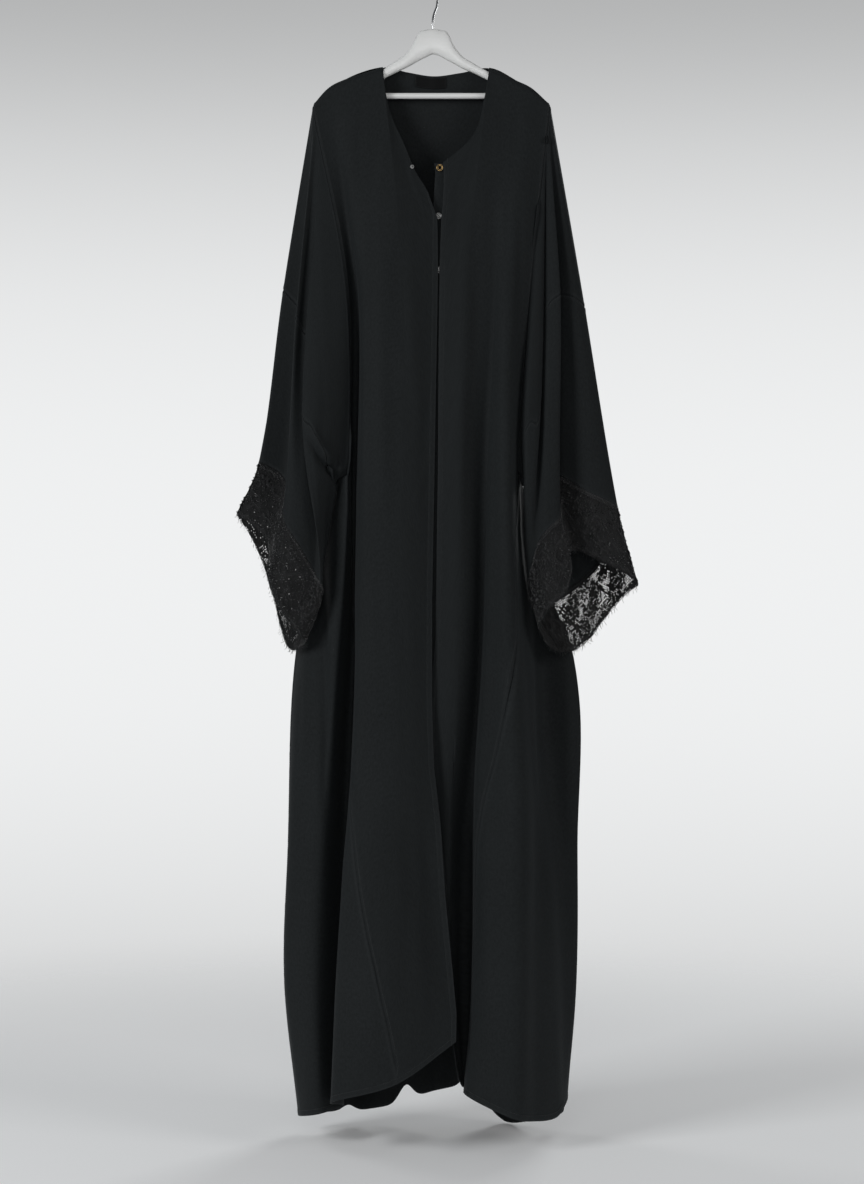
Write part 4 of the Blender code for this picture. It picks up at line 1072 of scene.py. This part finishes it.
def lace_pattern(u, v):
    """How much of the ground is worked over, from 0, open net, to 1, solid: a wandering stem with
    leaves on both sides, round flowers in its bends, and firm bands along both edges."""
    def off(centre_u):
        """How far u lies along from the nearest of the places that come again at centre_u."""
        return (u - centre_u + SCROLL / 2) % SCROLL - SCROLL / 2

    solid = hill(v - STEM - 15 * np.sin(2 * math.pi * u / SCROLL), 2.6)
    for k in range(8):
        centre_u = (k + .5) * SCROLL / 8
        side = 1 if k % 2 else -1
        dv = v - STEM - 15 * math.sin(2 * math.pi * centre_u / SCROLL) - side * 9
        du, lean = off(centre_u), .6 * side
        along, across = du * math.cos(lean) + dv * math.sin(lean), dv * math.cos(lean) - du * math.sin(lean)
        solid = np.maximum(solid, 1.2 - np.hypot(along / 4.0, across / 8.5))
    for centre_u, centre_v in ((SCROLL * .25, 24), (SCROLL * .75, 62)):
        du, dv = off(centre_u), v - centre_v
        ring = np.hypot(du, dv)
        petal = 8.5 + 3.2 * np.cos(6 * np.arctan2(dv, du))
        flower = np.where(ring < 2.6, 1.0, np.where(ring < 4.4, .1, (petal - ring) / 3 + .55))
        solid = np.maximum(solid, flower)
    edge = 76.5 + 3.5 * np.abs(np.sin(math.pi * u / 14.5))
    for band in (hill(v - edge, 2.4) * 1.1, np.clip((7.5 - v) / 2.5, 0, 1.1)):
        solid = np.maximum(solid, band)
    return np.clip(solid, 0, 1)


def open_patch(u, v, seed):
    """Where the net has pulled open, from 0 to 1."""
    drift = math.sin(u / 8.7 + seed) + math.sin(v / 6.1 + 2 * seed + u / 15)
    drift = drift + math.sin((u + v) / 11.3 + 3 * seed)
    return min(max(drift / 2.2 + .35, 0), 1)


def lace_net(wide, dice):
    """A loose net of hexagons: its corners, in millimetres along and down, and each cell's corners."""
    columns, rows = int(round(wide / CELL)), int(round(CUFF_DEEP / (CELL * math.sqrt(3) / 2)))
    points, number, cells = [], {}, []

    def corner(x, y):
        key = (round(x * 6), round(y * 6))
        if key not in number:
            number[key] = len(points)
            points.append((x, y))
        return number[key]

    for r in range(rows):
        for c in range(columns):
            cx, cy = c + (.5 if r % 2 else 0) + .25, r + .5
            cells.append([corner(cx + dx, cy + dy) for dx, dy in HEXAGON])
    u, v = np.array(points, float).T
    flat = np.stack([(u + .25) / (columns + .5) * wide, (v + 1 / 6) / (rows + 1 / 3) * CUFF_DEEP], axis=1)
    loose = dice.uniform(-.13, .13, flat.shape) * CELL
    free = (flat[:, 0] > 2) & (flat[:, 0] < wide - 2) & (flat[:, 1] > 2)
    flat[free] += loose[free]
    flat[:, 1] = np.clip(flat[:, 1], 0, None)
    flat[:, 0] = np.clip(flat[:, 0], .1, wide - .1)
    return flat, cells


def lace_half(name, sleeve, low, high, centre, seed, airy):
    """Half a cuff as real openwork: each cell of a loose net is a ring of thread, or is worked over.
    Gives the piece, the places of its beads and those of its loose ends."""
    dice = np.random.default_rng(seed)
    lines, wide = sleeve_lines(sleeve, low, high, 400)
    fine = np.linspace(0, wide, len(lines))
    flat, cells = lace_net(wide, dice)
    ring_points, quads, fills, beads = [], [], [], []
    for ring in cells:
        middle = flat[ring].mean(axis=0)
        worked = float(lace_pattern(middle[0:1], middle[1:2])[0])
        share = .5
        if worked <= WORKED:
            pulled = .42 * (open_patch(*middle, seed) * airy) * (1 - .4 * worked)
            share = .34 + .12 * dice.random() - .16 * worked + pulled
        inner = [len(flat) + len(ring_points) + k for k in range(6)]
        ring_points += [tuple(middle + (corner - middle) * share) for corner in flat[ring]]
        quads += [(ring[k], ring[(k + 1) % 6], inner[(k + 1) % 6], inner[k]) for k in range(6)]
        if worked > WORKED or (share < .5 and dice.random() < .55):
            fills.append(tuple(inner))
        if worked > .7 or dice.random() < .3:
            beads.append(middle + dice.uniform(-.6, .6, 2))
    every = np.concatenate([flat, np.array(ring_points)])
    worked_at = lace_pattern(*every.T)

    def on_cuff(place, lift):
        """Where a place along and down the lace lies on the cuff, lifted off it."""
        line = np.interp(place[:, 0], fine, lines)
        down = 2 + np.clip(place[:, 1] / CUFF_DEEP, 0, 1.02) * 1.004 - .013
        p = sleeve(line, down)
        along = sleeve(line + .1, down) - sleeve(line - .1, down)
        n = unit(np.cross(along, sleeve(line, down + .01) - sleeve(line, down - .01)))
        flip = np.sign(np.sum(n * (p - np.asarray(centre, float))))
        n = n * (1 if flip > 0 else -1)
        tucked = .9 * np.clip((2.2 - place[:, 1]) / 1.6, 0, 1)
        return p + n * (np.asarray(lift) - tucked)[:, None], n

    sway = np.clip((every[:, 1] - 12) / 40, 0, 1)
    ripple = .5 * np.sin(every[:, 0] / 9.5 + 1.2 * np.sin(every[:, 1] / 13)) * sway
    mid, n = on_cuff(every, worked_at * .55 + ripple)
    half = .38 + .22 * worked_at
    shown = np.concatenate([mid + n * half[:, None], mid - n * half[:, None]])
    front = quads + fills
    p = shown[np.array(quads)[:, :3]]
    if np.sum(np.cross(p[:, 1] - p[:, 0], p[:, 2] - p[:, 0]) * n[np.array(quads)[:, 0]]) < 0:
        front = [f[::-1] for f in front]
    raised = (("raised", np.concatenate([worked_at, worked_at])),)
    weave = np.concatenate([every, every + 3]) / 1000
    obj = mesh_from(name, shown, walls(front, len(every)), raised, weave, LACE)
    places = np.array(beads)
    seat, _ = on_cuff(places, lace_pattern(*places.T) * .55 + .9)
    count = int(wide / 2.3)
    hem = np.stack([np.linspace(1.5, wide - 1.5, count), np.full(count, CUFF_DEEP)], axis=1)
    hem[:, 0] += dice.uniform(-.8, .8, count)
    tips, _ = on_cuff(hem, np.zeros(count))
    return obj, seat, tips


def input_of(tree, label):
    """A modifier input's identifier, found by its name."""
    return next(item.identifier for item in tree.interface.items_tree
                if getattr(item, "in_out", "") == "INPUT" and item.name == label)


class Growth:
    """A Geometry Nodes tree that puts one small shape at many places."""

    def __init__(self, name, numbers):
        self.tree = bpy.data.node_groups.new(name, "GeometryNodeTree")
        face = self.tree.interface
        face.new_socket("Geometry", in_out="INPUT", socket_type="NodeSocketGeometry")
        for label, value in numbers.items():
            face.new_socket(label, in_out="INPUT", socket_type="NodeSocketFloat").default_value = value
        face.new_socket("Finish", in_out="INPUT", socket_type="NodeSocketMaterial")
        face.new_socket("Geometry", in_out="OUTPUT", socket_type="NodeSocketGeometry")
        self.given = self.tree.nodes.new("NodeGroupInput")

    def add(self, kind, settings=None, sockets=None):
        made = self.tree.nodes.new(kind)
        for key, value in (settings or {}).items():
            setattr(made, key, value)
        for key, value in (sockets or {}).items():
            if isinstance(value, bpy.types.NodeSocket):
                self.tree.links.new(value, made.inputs[key])
            else:
                made.inputs[key].default_value = value
        return made

    def strew(self, shape, sizes, turns, seeds):
        """Puts shape on every given point, each with its own size and turn."""
        size = self.add("FunctionNodeRandomValue", {"data_type": "FLOAT"},
                        {2: sizes[0], 3: sizes[1], "Seed": seeds[0]})
        turn = self.add("FunctionNodeRandomValue", {"data_type": "FLOAT_VECTOR"},
                        {0: turns[0], 1: turns[1], "Seed": seeds[1]})
        put = self.add("GeometryNodeInstanceOnPoints", sockets={
            "Points": self.given.outputs[0], "Instance": shape, "Rotation": turn.outputs[0],
            "Scale": size.outputs[1]})
        self.end(put.outputs[0])

    def end(self, instances):
        real = self.add("GeometryNodeRealizeInstances", sockets={"Geometry": instances})
        look = {"Geometry": real.outputs[0], "Material": self.given.outputs["Finish"]}
        painted = self.add("GeometryNodeSetMaterial", sockets=look)
        smooth = self.add("GeometryNodeSetShadeSmooth", sockets={"Geometry": painted.outputs[0]})
        last = self.tree.nodes.new("NodeGroupOutput")
        self.tree.links.new(smooth.outputs[0], last.inputs[0])

    def grow(self, name, holder, material, **numbers):
        """Runs the tree on holder and gives the plain mesh that it makes."""
        live = holder.modifiers.new("growth", "NODES")
        live.node_group = self.tree
        for label, value in numbers.items():
            live[input_of(self.tree, label)] = value
        live[input_of(self.tree, "Finish")] = material
        graph = bpy.context.evaluated_depsgraph_get()
        mesh = bpy.data.meshes.new_from_object(holder.evaluated_get(graph))
        mesh.name = name
        old = holder.data
        bpy.data.objects.remove(holder)
        bpy.data.meshes.remove(old)
        return new_object(name, mesh)


def bead_tree():
    """Small glass balls, sewn on at points."""
    g = Growth("sewn_beads", {"Radius": .0011})
    ball = g.add("GeometryNodeMeshIcoSphere",
                 sockets={"Radius": g.given.outputs["Radius"], "Subdivisions": 1})
    g.strew(ball.outputs["Mesh"], (.68, 1.18), ((0, 0, 0), (TURN, TURN, TURN)), (4, 9))
    return g


def stitch_tree():
    """Short straight stitches along lines: edges in, sunk capsules out."""
    g = Growth("topstitch", {"Pitch": .0032, "Length": .0023, "Thickness": .00034})
    given = g.given.outputs
    curve_of = g.add("GeometryNodeMeshToCurve", sockets={"Mesh": given[0]})
    even = g.add("GeometryNodeResampleCurve", {"mode": "LENGTH"},
                 {"Curve": curve_of.outputs[0], "Length": given["Pitch"]})
    capsule = g.add("GeometryNodeMeshCylinder", {"fill_type": "NGON"}, {
        "Vertices": 6, "Side Segments": 1, "Radius": given["Thickness"], "Depth": given["Length"]})
    heading = g.add("GeometryNodeInputTangent")
    turn = g.add("FunctionNodeAlignRotationToVector", {"axis": "Z"}, {"Vector": heading.outputs[0]})
    put = g.add("GeometryNodeInstanceOnPoints", sockets={
        "Points": even.outputs[0], "Instance": capsule.outputs["Mesh"], "Rotation": turn.outputs[0]})
    g.end(put.outputs[0])
    return g


def frayed_tree():
    """Loose thread ends that hang from a raw edge."""
    g = Growth("loose_threads", {"Thickness": .00022})
    line = g.add("GeometryNodeCurveQuadraticBezier", sockets={
        "Resolution": 6, "Start": (0, 0, 0), "Middle": (.0005, .0004, -.003), "End": (-.0012, .0006, -.0062)})
    ring = g.add("GeometryNodeCurvePrimitiveCircle",
                 sockets={"Resolution": 3, "Radius": g.given.outputs["Thickness"]})
    strand = g.add("GeometryNodeCurveToMesh", sockets={
        "Curve": line.outputs[0], "Profile Curve": ring.outputs[0], "Fill Caps": True})
    g.strew(strand.outputs[0], (.35, 1.25), ((-.9, -.9, 0), (.9, .9, TURN)), (2, 7))
    return g


def holder_of(points, edges=()):
    """A bare mesh of points and edges for a tree to grow on."""
    mesh = bpy.data.meshes.new("holder")
    mesh.from_pydata((np.asarray(points, float) / 1000).tolist(), list(edges), [])
    return new_object("holder", mesh)


def cuffs():
    """The lace halves with their beads and loose ends."""
    beads, threads, seed = bead_tree(), frayed_tree(), 60
    gap, near = .05, UNDER_LINE - .1
    for side, sleeve, centre, _ in SLEEVES:
        for half, low, high in (("back", -near, -gap), ("front", gap, near)):
            name = f"cuff_{half}_{side}"
            seed += 1
            obj, seat, tips = lace_half(name + "_lace", sleeve, low, high, centre, seed, AIRY[half, side])
            jet = hand_in(beads.grow(name + "_beads", holder_of(seat), BEAD))
            loose = hand_in(threads.grow(name + "_threads", holder_of(tips), THREAD))
            declared(obj, name)


def edge_line(name, edge, inset):
    """Points along one edge of a cloth piece, inset millimetres in, just on its outer face."""
    outer, run, down = grids[name]
    if edge in ("top", "bottom"):
        outer, run = outer.transpose(1, 0, 2), down.T
    points = []
    for i in range(len(outer)):
        at = inset if edge in ("left", "top") else run[i, -1] - inset
        points.append([np.interp(at, run[i], outer[i, :, k]) for k in range(3)])
    return np.array(points)


STITCHES = stitch_tree()


def stitched(name, lines, **sizes):
    """One mesh of the stitches along all these lines."""
    points, edges = [], []
    for line in lines:
        start = len(points)
        points += [tuple(p) for p in line]
        edges += [(start + k, start + k + 1) for k in range(len(line) - 1)]
    return hand_in(STITCHES.grow(name, holder_of(points, edges), THREAD, **sizes))


def topstitching():
    """Rows of stitches along the front edges, the hems and the seams."""
    hem, seam = 8.2, 3.6
    fronts, arms = [], []
    for name in ("front_right", "front_left"):
        fronts += [(name, "left", hem), (name, "bottom", hem), (name, "right", seam),
                   ("gore_" + name, "bottom", hem), ("gore_" + name, "right", 3.2)]
    backs = [("back", "left", seam), ("back", "right", seam), ("back", "bottom", hem),
             ("gore_back_right", "bottom", hem), ("gore_back_left", "bottom", hem)]
    for name in ("sleeve_lower_right", "sleeve_lower_left"):
        arms += [(name, "top", 2.6), (name, "bottom", 2.4)]
    for part, rows in (("front", fronts), ("back", backs), ("sleeves", arms)):
        stitched("stitches_" + part, [edge_line(name + "_cloth", edge, inset) for name, edge, inset in rows])


def tube_faces(rings, sides, closed=False):
    """Faces between the neighbouring rings of a tube; a closed one goes on from its last to its first."""
    faces = []
    for i in range(rings if closed else rings - 1):
        here, there = i * sides, (i + 1) % rings * sides
        faces += [(here + k, here + (k + 1) % sides, there + (k + 1) % sides, there + k)
                  for k in range(sides)]
    return faces


def round_shape(name, centre, profile, material, sides=48):
    """Turned about the y axis: profile is (radius, y) and closed on the axis or on itself."""
    around = [2 * math.pi * k / sides for k in range(sides)]
    points = [(centre[0] + radius * math.cos(a), centre[1] + y, centre[2] + radius * math.sin(a))
              for radius, y in profile for a in around]
    return outwards(mesh_from(name, points, tube_faces(len(profile), sides, True), material=material))


def outwards(obj):
    """Joins an object's doubled points and turns its faces outwards."""
    work = bmesh.new()
    work.from_mesh(obj.data)
    bmesh.ops.remove_doubles(work, verts=work.verts, dist=1e-7)
    bmesh.ops.recalc_face_normals(work, faces=work.faces)
    work.to_mesh(obj.data)
    work.free()
    return obj


def arc(cx, cy, radius, start, end, steps):
    """Rounded corner of a profile."""
    turn = np.radians(np.linspace(start, end, steps))
    return [(cx + radius * math.cos(t), cy + radius * math.sin(t)) for t in turn]


def snap_strip():
    """The strip that carries the sockets, behind the left front's edge."""
    edge = np.array(EDGE_LEFT, float)

    def strip(across, drop):
        x = np.interp(drop, edge[:, 0], edge[:, 1]) - 14 + 24 * across
        own = np.interp(drop, (270, 473, 734, 983, 1298), (-16, -34, -42, -46, -52))
        return true_place(x, own + 3.0, drop)

    drops = np.concatenate([[268, 269, 271, 274], np.linspace(278, 1072, 190), [1075, 1078, 1079, 1080]])
    share = np.array((0, .03, .09, .18, .3, .45, .6, .75, .88, .95, 1))
    a, b = np.broadcast_arrays(share[None, :], drops[:, None])
    obj = cloth_piece("snap_stand_cloth", strip, a, b, ("raw",) * 4, seed=15)
    declared(obj, "snap_stand")
    return strip


# Sockets: x, drop, radius, depth, how far in front of the strip, bore, finish.
SOCKETS = ((8.6, 275.0, 5.2, 2.0, 3.4, 2.2, BRASS), (6.8, 347.0, 4.6, 1.7, 3.0, .7, NICKEL),
           (6.2, 428.0, 4.6, 1.7, 3.0, .7, NICKEL))


def snaps(strip):
    """A brass socket on the strip's top, two nickel ones down the edge, and a stud on the fallen corner."""
    for k, (x, drop, radius, deep, front, inner, finish) in enumerate(SOCKETS, 1):
        place = strip(np.array([.58]), np.array([drop]))[0]
        centre = (x, place[1] - front, place[2])
        profile = (arc(radius - .35, .35, .35, 0, -90, 5) + [(radius * .66, 0), (radius * .6, .28)]
                   + arc(inner + .5, .5, .5, -90, -180, 6)
                   + [(inner, deep * .8), (inner + .2, deep), (radius * .72, deep)]
                   + arc(radius - .4, deep - .4, .4, 90, 0, 5))
        hand_in(round_shape(f"socket_{k}", centre, profile, finish), f"snap_socket_{k}")
        lines = []
        for turn in (45, 135, 225, 315):
            for side in (-.12, 0, .12):
                a = math.radians(turn) + side
                lines.append([(centre[0] + r * math.cos(a), centre[1] + y, centre[2] + r * math.sin(a))
                              for r, y in ((radius * .68, .1), (radius * .9, -.22), (radius * 1.12, .9))])
        stitched(f"socket_{k}_sewing", lines, Pitch=.0008, Length=.0011, Thickness=.00016)
    corner = front_right(np.array([.04]), np.array([166.0]))[0]
    stud = ([(0.01, -1.2)] + arc(.01, -.5, .7, -80, 0, 6) + [(.62, .1), (1.1, .3), (2.2, .35)]
            + arc(2.6, .75, .4, -90, 0, 5) + [(3.0, 1.4), (2.4, 1.8), (.01, 1.8)])
    hand_in(round_shape("stud_1", corner - np.array((0, 3.6, 0)), stud, NICKEL, 36), "snap_stud_1")


def label():
    """The blank woven label inside the neck."""
    lines, rows = np.linspace(4.3, 5.45, 40), np.linspace(153, 169, 22)
    mid = back(*np.broadcast_arrays(lines[None, :], rows[:, None]))
    n = face_normals(mid)
    n = -n if np.sum(n * (mid - np.array(INSIDE))) < 0 else n
    curl = .5 * hill(run_along(mid, 1), 3) + .35 * waviness(run_along(mid, 1), 5, (19, 31, 43))
    mid = mid - n * (1.5 + np.clip(curl, -.3, .8))[..., None]
    across, down = run_along(mid, 1), run_along(mid, 0)
    insets = (across, across[:, -1:] - across, down, down[-1:] - down)
    edge = np.maximum.reduce([hill(inset, .8) for inset in insets])
    weave = np.stack([across, -down], axis=-1) / 1000
    obj = shell("label_satin", mid, n, .5 + .25 * edge, (("worn", edge),), weave, SATIN)
    inner = mid - n * .45
    line = [inner[1, 1:-1], inner[-2, 1:-1], inner[1:-1, 1], inner[1:-1, -2]]
    sewing = stitched("label_sewing", line, Pitch=.002, Length=.0013, Thickness=.00016)
    declared(obj, "label")


def hanger_pieces():
    """The smooth painted hanger, its cross bar and the wire hook."""
    table, sides = np.array(HANGER, float), 40
    stretches = ((-173, -150, 14), (-150, -46, 40), (-46, 46, 64), (46, 144, 38), (144, 166, 14))
    at = np.unique(np.concatenate([np.linspace(*stretch) for stretch in stretches]))
    shape, points = spline(table[:, 0], table[:, 1:], at), []
    for x, (top, bottom, half) in zip(at, shape):
        middle, tall = (top + bottom) / 2, (bottom - top) / 2
        for a in 2 * math.pi * np.arange(sides) / sides:
            y, z = (math.copysign(abs(way) ** .8, way) for way in (math.cos(a), math.sin(a)))
            points.append((x, half * y, -(middle - tall * z)))
    faces, final = tube_faces(len(at), sides), (len(at) - 1) * sides
    for x, (top, bottom, _), low, turned in (
            (at[0] - .6, shape[0], 0, True), (at[-1] + .6, shape[-1], final, False)):
        tip = len(points)
        points.append((x, 0, -(top + bottom) / 2))
        ends = [(low + k, low + (k + 1) % sides) for k in range(sides)]
        faces += [(tip, b, a) if turned else (tip, a, b) for a, b in ends]
    rub = [float(np.clip(1 - abs(abs(x) - 150) / 30, 0, 1) * (z > -172)) for x, _, z in points]
    hand_in(outwards(mesh_from("hanger", points, faces, (("worn", rub),), material=PAINT)), "hanger_body")
    bar = [(x, 0, -167.0) for x in np.linspace(-147, 142, 40)]
    hand_in(rod("hanger_bar_round", bar, 4.4, 32, PAINT), "hanger_bar")
    loop, sideways = 19.5, np.array((.26, .966))
    path = [(-2, 0, z) for z in np.linspace(-84, -56, 10)]
    path += [(-1.8, .2, -52.5), (-1.2, 1, -48), (-.4, 2.6, -44), (.8, 5, -40)]
    for turn in np.radians(np.linspace(-52, 203, 70)):
        path.append((*(sideways * loop * math.cos(turn)), 1.6 - loop + loop * math.sin(turn)))
    hand_in(rod("hook_wire", path, 1.6, 20, WIRE), "hanger_hook")


def rod(name, path, radius, sides, material):
    """A round rod along a path, smoothed a little, with softly rounded ends."""
    path = np.array(path, float)
    for _ in range(2):
        path[1:-1] = (path[:-2] + 2 * path[1:-1] + path[2:]) / 4
    heading = unit(np.gradient(path, axis=0))
    up, points = np.cross(heading[0], (.31, .2, .93)), []
    inset, tip, shoulder = .25, .55, .85
    stations = [(path[0], heading[0], tip), (path[0] + heading[0] * inset, heading[0], shoulder)]
    stations += [(p, h, 1.0) for p, h in zip(path[1:-1], heading[1:-1])]
    stations += [(path[-1] - heading[-1] * inset, heading[-1], shoulder), (path[-1], heading[-1], tip)]
    for place, forward, size in stations:
        up = up - forward * np.dot(up, forward)
        up = up / np.linalg.norm(up)
        side = np.cross(forward, up)
        points += [place + radius * size * (up * math.cos(a) + side * math.sin(a))
                   for a in 2 * math.pi * np.arange(sides) / sides]
    faces = tube_faces(len(stations), sides)
    faces += [tuple(range(sides))[::-1], tuple(range(len(points) - sides, len(points)))]
    return outwards(mesh_from(name, points, faces, material=material))


# Lamps: place and aim in metres, size, power, tint.
LAMPS = {
    "soft_left": ((-2.8, -2.2, .2), (0, 0, -.9), 1.3, 66, (.97, .99, 1)),
    "soft_right": ((2.9, -1.7, .1), (0, 0, -.9), 1.3, 27, (1, .99, .98)),
    "front_wash": ((-.3, -4.6, .1), (0, 0, -.95), 1.6, 27, (1, 1, 1)),
    "back_soft": ((1.6, 3.3, .3), (0, 0, -.9), 1.5, 46, (.98, 1, 1)),
    "back_fill": ((-2.6, 2.2, .1), (0, 0, -1.0), 1.2, 16, (1, 1, 1)),
}


def studio():
    """The floor, soft lights and the photograph's camera."""
    around = np.radians(np.arange(0, 360, 5))
    points = [(FLOOR_RADIUS * math.cos(t), FLOOR_RADIUS * math.sin(t), -FLOOR_DROP) for t in around]
    mesh_from("paper_floor", points, [tuple(range(len(points)))], material=floor_finish())
    for name, (place, aim, size, power, tint) in LAMPS.items():
        lamp = bpy.data.lights.new(name, "AREA")
        lamp.shape, lamp.size, lamp.energy, lamp.color = "SQUARE", size, power, tint
        obj = new_object(name, lamp)
        obj.location = place
        obj.rotation_euler = (Vector(aim) - Vector(place)).to_track_quat("-Z", "Y").to_euler()
    room()
    bpy.context.scene.view_settings.view_transform = "Standard"
    lens = bpy.data.cameras.new("photo_camera")
    lens.sensor_fit, lens.sensor_height = "VERTICAL", CAMERA_HIGH
    lens.sensor_width = CAMERA_HIGH * 864 / 1184
    lens.lens = CAMERA_HIGH * EYE_BACK / 1000 / IMAGE_HIGH
    camera = new_object("photo_camera", lens)
    camera.location = (-.003, -EYE_BACK / 1000, -EYE_DROP / 1000)
    camera.rotation_euler = (math.pi / 2, 0, 0)
    bpy.context.scene.camera = camera


studio()
hanger_pieces()
body()
sleeve_cloth()
cuffs()
snaps(snap_strip())
label()
topstitching()
